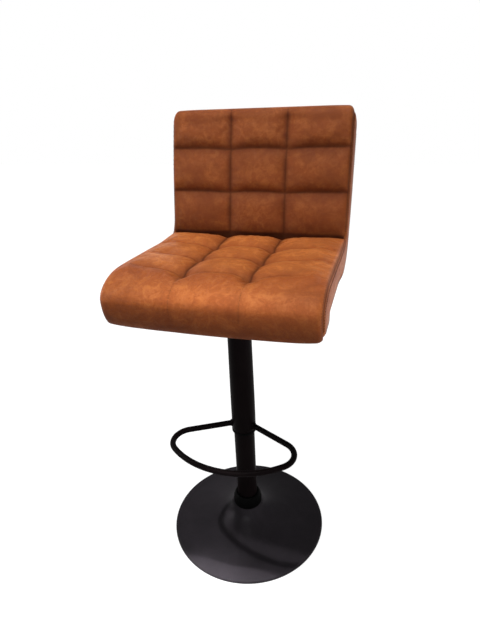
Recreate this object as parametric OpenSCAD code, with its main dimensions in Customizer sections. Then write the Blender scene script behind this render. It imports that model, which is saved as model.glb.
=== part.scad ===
// Swivel bar stool: a quilted one-piece seat and back on a gas-lift column, with a footrest
// on the column's sleeve and a trumpet base. The origin is on the floor on the column's axis,
// +Z is up, the sitter faces -Y, and the release lever is under the sitter's right hand, at -X.

/* [Base] */
// Diameter of the trumpet base
base_d = 390; // [370:5:440]
// Wall of the spun steel shell
shell_wall = 1.5; // [1:0.1:2]
// Height of the shell's rim shoulder above the floor
rim_h = 8; // [7:0.5:11]
// Gap between the shell's lower edge and the floor
rim_lift = 2; // [1:0.5:2.5]
// Rise of the shell's plate from rim to neck, without the trumpet
plate_rise = 10; // [6:1:14]
// Height of the shell's neck
neck_h = 70; // [62:1:85]
// Diameter of the shell's neck
neck_d = 74; // [68:1:84]
// Height of the dome collar above the neck
collar_h = 40; // [30:1:50]
// Wall of the dome collar
collar_wall = 2.5; // [2:0.5:3]
// Thickness of the rubber floor ring
floor_ring_t = 3; // [3:0.5:4]
// Width of the rubber floor ring
floor_ring_w = 30; // [20:1:40]
// Thickness of the cast ballast disc
ballast_t = 4; // [4:0.5:5]
// Height of the boss on the ballast disc
ballast_boss_t = 8; // [6:0.5:10]
// Diameter of the boss on the ballast disc
ballast_boss_d = 200; // [150:5:220]
// Diameter of the flange at the foot of the column
flange_d = 124; // [116:1:140]
// Thickness of the flange at the foot of the column
flange_t = 6; // [4:0.5:8]
// Diameter of the circle of flange bolts
flange_pcd = 92; // [88:1:96]

/* [Column] */
// Outer diameter of the column tube
tube_d = 50; // [48:0.5:52]
// Wall of the column tube
tube_wall = 2; // [1.5:0.1:2.5]
// Height of the column tube's top
tube_top = 463; // [440:1:464]
// Outer diameter of the sleeve that carries the footrest
sleeve_d = 59; // [58:0.5:62]
// Wall of the sleeve
sleeve_wall = 1.5; // [1:0.1:2]
// Height of the sleeve's lower end with the seat at rest
sleeve_bottom = 310; // [300:1:315]
// Length of the sleeve's lower bushing
bushing_l = 37; // [25:1:45]
// Height of the lip under the sleeve
bushing_lip_t = 5; // [3:0.5:7]
// Length of the guide bushing in the column tube
guide_l = 70; // [50:1:80]
// Height of the guide bushing's head
guide_head_t = 10; // [6:0.5:12]
// Outer diameter of the gas cylinder
cylinder_d = 28; // [27:0.5:29]
// Wall of the gas cylinder
cylinder_wall = 2; // [1.5:0.1:2.5]
// Height of the gas cylinder's lower end with the seat at rest
cylinder_bottom = 185; // [178:1:190]
// Diameter of the piston rod
rod_d = 10; // [9:0.5:11]
// Height of the piston in the cylinder
piston_z = 305; // [300:1:330]
// Thickness of the piston
piston_t = 16; // [10:1:20]
// Diameter of the bearing balls
ball_d = 5; // [4.5:0.1:5.2]
// Diameter of the ring of bearing balls
ball_pcd = 21; // [20:0.5:22]

/* [Footrest] */
// Diameter of the footrest's bar
bar_d = 16; // [12:0.5:20]
// Height of the bar's axis above the sleeve's lower end
bar_rise = 15; // [12:1:30]
// Reach of the bar's axis in front of the column
rest_reach = 176; // [168:1:185]
// Half the width of the footrest on the bar's axis
rest_half_w = 141.5; // [136:0.5:146]
// Radius of the front bow
bow_r = 195; // [190:1:205]
// Radius of the corners
rest_corner_r = 43.5; // [40:0.5:46]
// Distance of the arms' meeting point behind the column's axis
arm_back = 4; // [0:1:6]

/* [Seat and back] */
// Width of the cushions between their side seams
seat_w = 416; // [400:2:430]
// Height of the underside of the seat
underside_z = 660; // [659:1:665]
// Height of the cushion's crown above the underside, at the front
seat_crown_h = 97; // [90:1:100]
// Fall of the seat's top from the front to the crease
seat_fall = 16; // [12:1:20]
// Reach of the seat's nose in front of the column
nose_reach = 204; // [198:1:212]
// Depth of the rounded nose, front to back
nose_depth = 84; // [80:1:88]
// Height of the nose's foremost point above the underside
nose_rise = 53; // [50:1:56]
// Distance of the back's face behind the column at the crease
back_y = 162.5; // [160:0.5:168]
// Height of the crease between seat and back above the underside
crease_h = 84; // [80:1:88]
// Length of the back's face from the crease to its rolled top
back_len = 259; // [250:1:270]
// Thickness of the back
back_t = 51; // [48:1:56]
// Lean of the back at the crease, in degrees
lean_low = 8; // [6:0.5:10]
// Lean of the back at its top, in degrees
lean_high = 17; // [15:0.5:19]
// Distance of the lengthwise seams from the middle
seam_x = 65; // [60:1:70]
// Distance between the crosswise seams of the seat
seat_pitch = 92; // [90:1:95]
// Distance between the crosswise seams of the back
back_pitch = 96; // [90:1:99]
// Depth of the sewn channels
seam_depth = 8; // [4:0.5:10]
// Extra depth of the tufts where channels cross
tuft_depth = 4; // [0:0.5:6]
// Bulge of the side panels
side_bulge = 5; // [2:0.5:7]
// Radius of the back's top corners
top_corner_r = 20; // [18:1:26]
// Thickness of the plywood
ply_t = 12; // [10:0.5:12]
// Thickness of the padded cover behind the plywood
cover_t = 5; // [4:0.5:6]
// Inset of the plywood's edge from the cushions' side
ply_inset = 8; // [7:0.5:12]
// Inset of the plywood's front edge from the nose
ply_front_inset = 50; // [48:1:54]

/* [Seat plate and lever] */
// Side of the square seat plate
plate_w = 190; // [176:2:220]
// Thickness of the seat plate
plate_t = 3; // [2.5:0.5:3]
// Corner radius of the seat plate
plate_corner_r = 14; // [8:1:18]
// Distance between the plate's bolts
bolt_span = 150; // [140:1:160]
// Height of the lever housing under the plate
housing_h = 37; // [36:0.5:38]
// Width of the lever housing
housing_w = 64; // [62:1:70]
// Reach of the lever housing at the lever's side
housing_out = 58; // [54:1:60]
// Reach of the lever housing at the other side
housing_in = 46; // [40:1:60]
// Wall of the lever housing
housing_wall = 2.5; // [2:0.1:2.5]
// Outer diameter of the taper hub
hub_d = 36; // [34:0.5:40]
// Distance of the lever's pivot from the column's axis
pivot_x = 24; // [23:0.5:26]
// Diameter of the lever's pin
pin_d = 6; // [5:0.5:6]
// Diameter of the lever's rod
lever_d = 8; // [7:0.5:9]
// Reach of the lever's tip from the column's axis
lever_reach = 203; // [190:1:206]
// Diameter of the lever's grip
grip_d = 15; // [13:0.5:17]
// Length of the lever's grip
grip_l = 62; // [50:1:70]
// Diameter of the valve button
button_d = 8; // [6:0.5:9]

/* [Hidden] */
$fn = 64;

// Radial gap of a running fit
running = 0.06;
// Gap between pieces that are pressed or laid together
seat_gap = 0.3;
// Overrun of a cut past the face it opens
over = 1;

// Facets of an outline's round stretch
arc_steps = 16;

// Points that are moved sideways off a path by d, to the left of its direction
function dir(a, b) = (b - a) / norm(b - a);
function at(p, i) = p[min(max(i, 0), len(p) - 1)];
function left_of(p, i) = let (t = dir(at(p, i - 1), at(p, i + 1))) [-t[1], t[0]];
function beside(p, d) = [for (i = [0:len(p) - 1]) p[i] + d * left_of(p, i)];
function reversed(p) = [for (i = [len(p) - 1:-1:0]) p[i]];
function mixed(a, b, t) = a + (b - a) * t;

// Base: the shell's outer outline runs from its lower edge up over the rim and in to the neck
base_r = base_d / 2;
neck_r = neck_d / 2;
rim_round = 3;
trumpet_h = neck_h - rim_h - plate_rise;
function shell_z(t) = rim_h + plate_rise * t + trumpet_h * (1 - sqrt(1 - t * t));
shell_line = concat(
    [[base_r, rim_lift]],
    [for (a = [0:30:90])
        [base_r - rim_round * (1 - cos(a)), rim_h - rim_round * (1 - sin(a))]],
    [for (i = [1:arc_steps])
        let (t = sin(90 * i / arc_steps))
        [mixed(base_r - rim_round, neck_r, t), shell_z(t)]]);
shell_inside = beside(shell_line, shell_wall);
floor_ring_gap = 2;
floor_ring_r = base_r - shell_wall - floor_ring_gap;
ballast_lap_share = 0.6;
ballast_r = floor_ring_r - ballast_lap_share * floor_ring_w;
ballast_z = floor_ring_t;
boss_z = ballast_z + ballast_t;
flange_z = boss_z + ballast_boss_t;
tube_z = flange_z + flange_t;
ballast_bore_r = 24;
bolt_r = 4;
bolt_play = 0.5;
bolt_head_t = 5.3;
bolt_head_r = 7.5;
nut_t = 6.5;
bolt_recess_r = 9;
bolt_count = 4;
bolt_head_lift = 1;
bolt_end = 1;
tube_r = tube_d / 2;
tube_in = tube_r - tube_wall;
collar_skirt = 6;
collar_lip = 2;
collar_spigot = 8;
collar_top_land = 3;
rod_r = rod_d / 2;

// Thrust bearing on the flange, inside the column tube
ball_r = ball_d / 2;
ball_ring_r = ball_pcd / 2;
ball_play = 0.08;
groove_r = ball_r + ball_play;
race_t = 3.5;
race_lift = 1.5;
race_w = 4;
race_in = rod_r + running;
race_out = ball_ring_r + race_w;
ball_z = tube_z + race_t + race_lift;
upper_race_z = ball_z + race_lift;
shoulder_z = upper_race_z + race_t;
shoulder_t = 4;
shoulder_r = rod_r + race_w;
ball_count = 10;
cage_t = 2;
cage_w = 2.8;
flange_bore_r = rod_r + 2 * seat_gap;
rod_end_drop = 10;
rod_end_z = flange_z - rod_end_drop;
washer_t = 2;
washer_z = flange_z - washer_t - seat_gap;
washer_w = 7;
washer_r = rod_r + washer_w;
clip_t = 1.6;
clip_z = washer_z - clip_t;
clip_depth = 1;
clip_w = 3;
clip_r = rod_r + clip_w;
clip_open = 6;

// Column
sleeve_r = sleeve_d / 2;
sleeve_in = sleeve_r - sleeve_wall;
dust_t = 1;
plate_z = underside_z - dust_t - plate_t;
housing_z = plate_z - housing_h;
sleeve_top = housing_z;
guide_z = tube_top - guide_l;
cylinder_r = cylinder_d / 2;
cylinder_in = cylinder_r - cylinder_wall;
hub_r = hub_d / 2;
hub_drop = 22;
hub_rise = 17;
hub_z = housing_z - hub_drop;
hub_top = housing_z + hub_rise;
cylinder_stand = 4;
cylinder_top = hub_top + cylinder_stand;
taper_slope = 0.0125;
cylinder_head_t = 32;
gland_t = 20;
button_r = button_d / 2;
button_stand = 6;
button_l = 22;
button_travel = 2.8;
button_top = cylinder_top + button_stand;
button_low = button_top - button_l;
button_bore_z = button_low - 2 * button_travel;

// Footrest: front bow, two corners, and two straight arms that run to the sleeve
bar_r = bar_d / 2;
bar_z = sleeve_bottom + bar_rise;
bow_y = bow_r - rest_reach;
corner_x = rest_half_w - rest_corner_r;
corner_y = bow_y - sqrt(pow(bow_r - rest_corner_r, 2) - corner_x * corner_x);
arm_span = norm([corner_x, corner_y - arm_back]);
arm_angle = atan2(corner_y - arm_back, corner_x) + asin(rest_corner_r / arm_span);
arm_l = sqrt(arm_span * arm_span - rest_corner_r * rest_corner_r);
bow_angle = atan2(corner_y - bow_y, corner_x);
bar_sides = 20;
corner_steps = 10;
bow_steps = 7;
// Swell of the weld round the arm, and its length outside the sleeve
weld_swell = 2;
weld_l = 5;
arm_root_share = 0.7;
arm_root = arm_root_share * sleeve_r;
arm_places = [arm_root, sleeve_r + bar_r / 2, sleeve_r + weld_l, arm_l / 2];
arm_swells = [weld_swell, weld_swell, 0, 0];
function arm_pt(l) = [l * cos(arm_angle), arm_back + l * sin(arm_angle)];
half_path = concat(
    [for (l = arm_places) arm_pt(l)],
    [for (i = [0:corner_steps])
        let (a = mixed(90 + arm_angle, bow_angle, i / corner_steps))
        [corner_x + rest_corner_r * cos(a), corner_y + rest_corner_r * sin(a)]],
    [for (i = [1:bow_steps])
        let (a = mixed(bow_angle, -90, i / bow_steps))
        [bow_r * cos(a), bow_y + bow_r * sin(a)]]);
half_radii = [for (i = [0:len(half_path) - 1]) bar_r + (i < len(arm_swells) ? arm_swells[i] : 0)];
rest_path = concat(half_path, [for (i = [len(half_path) - 2:-1:0]) [-half_path[i][0], half_path[i][1]]]);
rest_radii = concat(half_radii, [for (i = [len(half_path) - 2:-1:0]) half_radii[i]]);

// Seat: places are [y, z] in the middle plane
half_w = seat_w / 2;
crown_z = underside_z + seat_crown_h;
nose_y = nose_depth - nose_reach;
nose_z = underside_z + nose_rise;
nose_top_h = crown_z - nose_z;
nose_low_h = 66;
// Squareness of the nose below its foremost point
nose_low_share = 0.55;
crease_z = underside_z + crease_h;
crease_depth = 5;
seat_rear_y = back_y - crease_depth;
crease_roll = 6;
seam_3_y = seat_rear_y - crease_roll - 3 * seat_pitch;
fall_power_share = 1.2;
function seat_top(y) = crown_z
    - seat_fall * pow(max(nose_y - y, y - nose_y) / (seat_rear_y - nose_y), fall_power_share);

// Back: a point s up the face from the crease and d behind the face
arc_r = back_len * 180 / (PI * (lean_high - lean_low));
function lean(s) = lean_low + (lean_high - lean_low) * s / back_len;
function back_face(s) = [
    back_y + arc_r * (cos(lean_low) - cos(lean(s))),
    crease_z + arc_r * (sin(lean(s)) - sin(lean_low))];
function back_pt(s, d) = back_face(s) + d * [cos(lean(s)), -sin(lean(s))];

// Plywood: its middle line is flat under the seat, bends up, and follows the back
ply_mid_z = underside_z + cover_t + ply_t / 2;
ply_depth = back_t - cover_t - ply_t / 2;
bend_r = (back_pt(0, ply_depth)[1] - ply_mid_z) / (1 - sin(lean_low));
bend_y = back_pt(0, ply_depth)[0] - bend_r * cos(lean_low);
bend_z = ply_mid_z + bend_r;
bend_steps = 8;
back_steps = 8;
function bend_pt(a, d) = [bend_y, bend_z] + (bend_r - d) * [sin(a), -cos(a)];
// Line at d above and in front of the plywood's middle, from y at the front to s on the back
function board_line(d, y, s) = concat(
    [[y, ply_mid_z + d]],
    [for (i = [0:bend_steps]) bend_pt((90 - lean_low) * i / bend_steps, d)],
    [for (i = [1:back_steps]) back_pt(s * i / back_steps, ply_depth - d)]);
function board_band(d1, d2, y, s) = concat(board_line(d1, y, s), reversed(board_line(d2, y, s)));
ply_front = ply_front_inset - nose_reach;
cover_front = ply_front - cover_t;
cover_inset = 2;
cover_half_w = half_w - cover_inset;
ply_half_w = half_w - ply_inset;
cover_top_inset = 5;
cover_top_s = back_len - cover_top_inset;
ply_top_s = cover_top_s - cover_t;
cover_corner_margin = 6;
cover_corner_r = top_corner_r + cover_corner_margin;
pad_gap = 0.4;
pad_lift = ply_t / 2 + pad_gap;

// Quilting: 0 in a seam and 1 on a crown
crown_power_share = 3;
function puff(t) = 1 - pow(abs(2 * t - 1), crown_power_share);
// The same on a tile at the side, which sinks less at the side seam
edge_sink_share = 0.35;
function edge_puff(t) = t < 0.5 ? puff(t) : 1 - edge_sink_share * (1 - puff(t));
tile_shares = [0, 0.1, 0.32, 0.5, 0.68, 0.9];
edge_tile_shares = [0, 0.1, 0.3, 0.55, 0.8, 0.94];
row_shares = [0, 0.12, 0.36, 0.64, 0.88];
edge_w = half_w - seam_x;
// Columns of a cushion: [x, puff across the tile]
columns = concat(
    [[-half_w, edge_puff(1)]],
    [for (i = [5:-1:1]) [-seam_x - edge_w * edge_tile_shares[i], edge_puff(edge_tile_shares[i])]],
    [for (t = tile_shares) [seam_x * (2 * t - 1), puff(t)]],
    [for (t = edge_tile_shares) [seam_x + edge_w * t, edge_puff(t)]],
    [[half_w, edge_puff(1)]]);
function sunk(a, b) = -seam_depth * (1 - (1 - a) * (1 - b)) - tuft_depth * a * b;
// Fall of an outline of corner radius r at x, where the cushion's side is at half_w
function rounding(x, r) = let (u = min(max(abs(x) - (half_w - r), 0), r)) r - sqrt(r * r - u * u);

// Seat cushion's face: [y, z, puff along the tile, strength of the lengthwise seams]
nose_seam_share = 0.12;
nose_steps = 9;
nose_first = asin((nose_y - seam_3_y) / nose_depth);
nose_last = 90 + asin(nose_rise / nose_low_h);
nose_puff_shares = [0, 0.7, 0.95];
crease_puff_share = 0.4;
seat_face = concat(
    [for (row = [0:2]) for (t = row_shares)
        let (y = mixed(seat_rear_y, seam_3_y, (row + t) / 3))
        [y, seat_top(y), row + t == 0 ? crease_puff_share : puff(t), 1]],
    [for (i = [0:nose_steps])
        let (a = mixed(nose_first, nose_last, i / nose_steps))
        [nose_y - nose_depth * pow(sin(a), a < 90 ? 1 : nose_low_share),
            nose_z + (a < 90 ? nose_top_h : nose_low_h) * cos(a),
            i < 3 ? nose_puff_shares[i] : 1, i == 0 ? 1 : nose_seam_share]]);
split_angle = 42;
split_gap = 1;
nose_corner_r = 26;
nose_corner_inset = 6;
// Lift of the nose's lower edge at its corners, and how far in it reaches
nose_low_lift = 5;
nose_low_r = 70;
// First row of the nose that faces down
nose_i = len(seat_face) - 4;
flat_steps = 11;
lip_steps = 7;
front_y = cover_front - pad_gap;
seat_board = concat(
    [for (i = [0:3]) bend_pt(split_angle * (4 - i) / 4, pad_lift)],
    [for (i = [0:flat_steps]) [mixed(bend_y, seam_3_y, i / flat_steps), ply_mid_z + pad_lift]],
    [for (i = [1:lip_steps]) [mixed(seam_3_y, front_y, i / lip_steps), ply_mid_z + pad_lift]],
    [[front_y, mixed(ply_mid_z + pad_lift, underside_z, 0.5)], [front_y, underside_z]]);

// Back cushion's face: [s, d, puff along the tile]
roll_r = back_t / 2;
roll_steps = 8;
// How fast the seams fade over the rolled top
roll_sink_power_share = 4;
top_row_l = back_len - 2 * back_pitch;
top_row_shares = [0, 0.12, 0.36, 0.6, 0.8];
top_puff_shares = [0, 0.6, 0.9, 1, 1];
back_face_rows = concat(
    [for (row = [0:1]) for (t = row_shares)
        [back_pitch * (row + t), 0, row + t == 0 ? crease_puff_share : puff(t)]],
    [for (i = [0:4]) [2 * back_pitch + top_row_l * top_row_shares[i], 0, top_puff_shares[i]]]);
top_fade = 60;
function lowered(s, x) = s
    - rounding(x, top_corner_r) * min(max((s - back_len + top_fade) / top_fade, 0), 1);

// One closed form from a face line and a board line of equal length at each column, whose
// sides are closed over a middle line that bulges
module cushion(faces_at, boards_at) {
    n = len(faces_at[0]);
    m = 2 * n;
    cols = len(columns);
    mids = [for (j = [0, cols - 1]) for (i = [0:n - 1])
        let (a = faces_at[j][i], b = boards_at[j][i], w = sin(180 * (i + 0.5) / n))
        (a + b) / 2 + [(j == 0 ? -1 : 1) * side_bulge * w, 0, 0]];
    points = concat(
        [for (j = [0:cols - 1]) each concat(faces_at[j], reversed(boards_at[j]))],
        mids);
    function v(j, i) = j * m + (i % m);
    function face_v(j, i) = j * m + i;
    function board_v(j, i) = j * m + m - 1 - i;
    function mid_v(k, i) = cols * m + k * n + i;
    skin = [for (j = [0:cols - 2]) for (i = [0:m - 1]) each [
        [v(j, i), v(j + 1, i), v(j + 1, i + 1)],
        [v(j, i), v(j + 1, i + 1), v(j, i + 1)]]];
    sides = [for (k = [0, 1]) let (j = k * (cols - 1)) each concat(
        [for (i = [0:n - 2]) each [
            [face_v(j, i), face_v(j, i + 1), mid_v(k, i + 1)],
            [face_v(j, i), mid_v(k, i + 1), mid_v(k, i)],
            [mid_v(k, i), mid_v(k, i + 1), board_v(j, i + 1)],
            [mid_v(k, i), board_v(j, i + 1), board_v(j, i)]]],
        [[face_v(j, 0), mid_v(k, 0), board_v(j, 0)],
            [face_v(j, n - 1), board_v(j, n - 1), mid_v(k, n - 1)]])];
    near_side = [for (f = sides) if (f[0] < m || f[1] < m || f[2] < m) f];
    far_side = [for (f = sides) if (!(f[0] < m || f[1] < m || f[2] < m)) reversed(f)];
    polyhedron(points, concat(skin, near_side, far_side), convexity = 10);
}

function with_x(x, p) = [x, p[0], p[1]];

// A round bar along a level path of [x, y] places, with a radius at each
module swept_bar(path, radii) {
    n = len(path);
    k = bar_sides;
    points = [for (i = [0:n - 1]) for (j = [0:k - 1])
        let (side = left_of(path, i), a = 360 * j / k)
        [path[i][0] + radii[i] * cos(a) * side[0], path[i][1] + radii[i] * cos(a) * side[1],
            bar_z + radii[i] * sin(a)]];
    walls = [for (i = [0:n - 2]) for (j = [0:k - 1])
        let (a = i * k + j, b = i * k + (j + 1) % k)
        each [[a, a + k, b + k], [a, b + k, b]]];
    polyhedron(points, concat(walls, [[for (j = [0:k - 1]) j], [for (j = [k - 1:-1:0]) (n - 1) * k + j]]));
}

// A ring, a tube or a disc that stands on z
module ring(outer, inner, z, h) {
    translate([0, 0, z])
        difference() {
            cylinder(r = outer, h = h);
            translate([0, 0, -over])
                cylinder(r = inner, h = h + 2 * over);
        }
}

// An outline in the middle plane, given as [y, z], made w wide
module across(w) {
    rotate([90, 0, 90])
        linear_extrude(height = w, center = true)
            children();
}

module round_plate(w, d, r, h) {
    linear_extrude(height = h)
        union() {
            square([w - 2 * r, d], center = true);
            square([w, d - 2 * r], center = true);
            for (x = [-1, 1])
                for (y = [-1, 1])
                    translate([x * (w / 2 - r), y * (d / 2 - r)])
                        circle(r = r);
        }
}

module at_flange_bolts() {
    for (i = [0:bolt_count - 1])
        rotate([0, 0, 45 + 360 * i / bolt_count])
            translate([flange_pcd / 2, 0, 0])
                children();
}

module at_plate_bolts() {
    for (x = [-1, 1])
        for (y = [-1, 1])
            translate([x * bolt_span / 2, y * bolt_span / 2, 0])
                children();
}

module plate_holes(r, z, h) {
    at_plate_bolts()
        translate([0, 0, z])
            cylinder(r = r, h = h);
}

module base_shell() {
    color([0.13, 0.12, 0.13])
        rotate_extrude()
            polygon(concat(shell_line, reversed(shell_inside)));
}

module floor_ring() {
    color([0.06, 0.06, 0.06])
        ring(floor_ring_r, floor_ring_r - floor_ring_w, 0, floor_ring_t);
}

module ballast_disc() {
    color([0.25, 0.25, 0.26])
        difference() {
            union() {
                translate([0, 0, ballast_z])
                    cylinder(r = ballast_r, h = ballast_t);
                translate([0, 0, boss_z])
                    cylinder(r = ballast_boss_d / 2, h = ballast_boss_t);
            }
            translate([0, 0, ballast_z - over])
                cylinder(r = ballast_bore_r, h = ballast_t + ballast_boss_t + 2 * over);
            at_flange_bolts() {
                translate([0, 0, ballast_z - over])
                    cylinder(r = bolt_r + bolt_play, h = ballast_t + ballast_boss_t + 2 * over);
                translate([0, 0, ballast_z - over])
                    cylinder(r = bolt_recess_r, h = bolt_head_t + 2 * over);
            }
        }
}

module foot_flange() {
    color([0.18, 0.18, 0.19])
        difference() {
            ring(flange_d / 2, flange_bore_r, flange_z, flange_t);
            at_flange_bolts()
                translate([0, 0, flange_z - over])
                    cylinder(r = bolt_r + bolt_play, h = flange_t + 2 * over);
        }
}

module flange_bolts() {
    head_z = ballast_z + bolt_head_lift;
    color([0.6, 0.6, 0.62])
        at_flange_bolts() {
            translate([0, 0, head_z])
                cylinder(r = bolt_head_r, h = bolt_head_t, $fn = 6);
            translate([0, 0, head_z + bolt_head_t])
                cylinder(r = bolt_r, h = tube_z + nut_t - head_z - bolt_head_t + bolt_end);
        }
}

module flange_nuts() {
    color([0.6, 0.6, 0.62])
        at_flange_bolts()
            translate([0, 0, tube_z])
                difference() {
                    cylinder(r = bolt_head_r, h = nut_t, $fn = 6);
                    translate([0, 0, -over])
                        cylinder(r = bolt_r + running, h = nut_t + 2 * over);
                }
}

module column_tube() {
    color([0.05, 0.05, 0.05])
        ring(tube_r, tube_in, tube_z, tube_top - tube_z);
}

module dome_collar() {
    lip_r = neck_r + collar_lip;
    spigot_r = neck_r - shell_wall - seat_gap;
    bore_r = tube_r + seat_gap;
    top_r = bore_r + collar_top_land;
    top_z = neck_h + collar_h;
    dome = [for (i = [0:8])
        let (a = 90 * i / 8)
        [top_r + (lip_r - top_r) * cos(a), neck_h + collar_skirt + (collar_h - collar_skirt) * sin(a)]];
    color([0.03, 0.03, 0.03])
        rotate_extrude()
            polygon(concat(
                [[spigot_r - collar_wall, neck_h - collar_spigot], [spigot_r, neck_h - collar_spigot],
                    [spigot_r, neck_h], [lip_r, neck_h]],
                dome,
                [[bore_r, top_z], [bore_r, top_z - collar_top_land]],
                [for (i = [7:-1:0]) [
                    max(dome[i][0] - collar_wall, bore_r + (7 - i) * seat_gap),
                    dome[i][1] - collar_wall]]));
}

module guide_bushing() {
    color([0.75, 0.75, 0.72])
        union() {
            ring(tube_in - running, cylinder_r + running, guide_z, guide_l);
            ring(sleeve_in - running, cylinder_r + running, tube_top, guide_head_t);
        }
}

module ball_groove() {
    translate([0, 0, ball_z])
        rotate_extrude()
            translate([ball_ring_r, 0])
                circle(r = groove_r);
}

module bearing_lower_race() {
    color([0.7, 0.7, 0.72])
        difference() {
            ring(race_out, flange_bore_r, tube_z, race_t);
            ball_groove();
        }
}

module bearing_upper_race() {
    color([0.7, 0.7, 0.72])
        difference() {
            ring(race_out, race_in, upper_race_z, race_t);
            ball_groove();
        }
}

module at_balls() {
    for (i = [0:ball_count - 1])
        rotate([0, 0, 360 * i / ball_count])
            translate([ball_ring_r, 0, ball_z])
                children();
}

module bearing_balls() {
    color([0.85, 0.85, 0.87])
        at_balls()
            sphere(r = ball_r);
}

module bearing_cage() {
    color([0.75, 0.6, 0.3])
        difference() {
            ring(ball_ring_r + cage_w, ball_ring_r - cage_w, ball_z - cage_t / 2, cage_t);
            at_balls()
                translate([0, 0, -cage_t])
                    cylinder(r = groove_r, h = 2 * cage_t);
        }
}

module piston_rod() {
    color([0.8, 0.8, 0.82])
        difference() {
            union() {
                translate([0, 0, rod_end_z])
                    cylinder(r = rod_r, h = piston_z - rod_end_z);
                translate([0, 0, shoulder_z])
                    cylinder(r = shoulder_r, h = shoulder_t);
            }
            ring(rod_r + over, rod_r - clip_depth, clip_z, clip_t);
        }
}

module piston_head() {
    color([0.3, 0.3, 0.32])
        translate([0, 0, piston_z])
            cylinder(r = cylinder_in - running, h = piston_t);
}

module rod_washer() {
    color([0.65, 0.65, 0.67])
        ring(washer_r, rod_r + running, washer_z, washer_t);
}

module rod_clip() {
    color([0.35, 0.35, 0.37])
        difference() {
            ring(clip_r, rod_r - clip_depth + running, clip_z, clip_t);
            translate([0, -clip_open / 2, clip_z - over])
                cube([clip_r + over, clip_open, clip_t + 2 * over]);
        }
}

module gas_cylinder() {
    straight_l = hub_z - cylinder_bottom;
    taper_l = cylinder_top - hub_z;
    color([0.08, 0.08, 0.08])
        difference() {
            union() {
                translate([0, 0, cylinder_bottom])
                    cylinder(r = cylinder_r, h = straight_l);
                translate([0, 0, hub_z])
                    cylinder(r1 = cylinder_r, r2 = cylinder_r - taper_l * taper_slope, h = taper_l);
            }
            translate([0, 0, cylinder_bottom - over])
                cylinder(r = cylinder_in, h = cylinder_top - cylinder_head_t - cylinder_bottom + over);
            translate([0, 0, button_bore_z])
                cylinder(r = button_r + running, h = cylinder_top - button_bore_z + over);
        }
}

module rod_gland() {
    color([0.12, 0.12, 0.13])
        ring(cylinder_in - running, rod_r + running, cylinder_bottom, gland_t);
}

module taper_hub() {
    hub_l = hub_top - hub_z;
    color([0.1, 0.1, 0.1])
        difference() {
            translate([0, 0, hub_z])
                cylinder(r = hub_r, h = hub_l);
            translate([0, 0, hub_z])
                cylinder(r1 = cylinder_r + running, r2 = cylinder_r + running - hub_l * taper_slope,
                    h = hub_l);
        }
}

module sleeve_tube() {
    color([0.06, 0.05, 0.05])
        ring(sleeve_r, sleeve_in, sleeve_bottom, sleeve_top - sleeve_bottom);
}

module sleeve_bushing() {
    color([0.2, 0.19, 0.19])
        union() {
            ring(sleeve_in - running, tube_r + running, sleeve_bottom, bushing_l);
            ring(sleeve_r, tube_r + running, sleeve_bottom - bushing_lip_t, bushing_lip_t);
        }
}

module footrest_ring() {
    color([0.05, 0.05, 0.05])
        difference() {
            swept_bar(rest_path, rest_radii);
            translate([0, 0, bar_z - bar_d])
                cylinder(r = sleeve_r, h = 2 * bar_d);
        }
}

module lever_housing() {
    slot_play = 2;
    slot_w = lever_d + 2 * slot_play;
    length = housing_out + housing_in;
    color([0.08, 0.08, 0.08])
        difference() {
            translate([-housing_out, -housing_w / 2, housing_z])
                cube([length, housing_w, housing_h]);
            translate([housing_wall - housing_out, housing_wall - housing_w / 2, housing_z + housing_wall])
                cube([length - 2 * housing_wall, housing_w - 2 * housing_wall, housing_h]);
            translate([0, 0, housing_z - over])
                cylinder(r = hub_r + running, h = housing_h);
            translate([-housing_out - over, -slot_w / 2, slot_z])
                cube([housing_wall + 2 * over, slot_w, slot_h]);
            translate([-pivot_x, housing_w / 2 + over, pivot_z])
                rotate([90, 0, 0])
                    cylinder(r = pin_r + running, h = housing_w + 2 * over);
        }
}

module lever_pin() {
    color([0.7, 0.7, 0.72])
        translate([-pivot_x, housing_w / 2 + pin_end, pivot_z])
            rotate([90, 0, 0])
                cylinder(r = pin_r, h = housing_w + 2 * pin_end);
}

module seat_plate() {
    color([0.08, 0.08, 0.08])
        difference() {
            translate([0, 0, plate_z])
                round_plate(plate_w, plate_w, plate_corner_r, plate_t);
            plate_holes(bolt_r + bolt_play, plate_z - over, plate_t + 2 * over);
        }
}

module plate_bolts() {
    color([0.6, 0.6, 0.62])
        at_plate_bolts() {
            translate([0, 0, plate_z - plate_washer_t - bolt_head_t])
                cylinder(r = bolt_head_r, h = bolt_head_t, $fn = 6);
            translate([0, 0, plate_z - plate_washer_t])
                cylinder(r = bolt_r, h = plate_washer_t + plate_t + dust_t + cover_t + ply_t - bolt_end);
        }
}

module plate_washers() {
    color([0.65, 0.65, 0.67])
        at_plate_bolts()
            ring(plate_washer_r, bolt_r + running, plate_z - plate_washer_t, plate_washer_t);
}

module t_nuts() {
    low_z = underside_z + cover_t;
    color([0.62, 0.62, 0.64])
        at_plate_bolts()
            difference() {
                union() {
                    translate([0, 0, low_z])
                        cylinder(r = t_nut_r, h = ply_t - t_nut_flange_t);
                    translate([0, 0, low_z + ply_t - t_nut_flange_t])
                        cylinder(r = t_nut_flange_r, h = t_nut_flange_t);
                }
                translate([0, 0, low_z - over])
                    cylinder(r = bolt_r + running, h = ply_t + 2 * over);
            }
}

module dust_cover() {
    color([0.07, 0.07, 0.07])
        difference() {
            translate([0, 0, plate_z + plate_t])
                round_plate(dust_w, dust_w, plate_corner_r, dust_t);
            plate_holes(t_nut_r, plate_z, plate_t + dust_t + over);
        }
}

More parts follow.
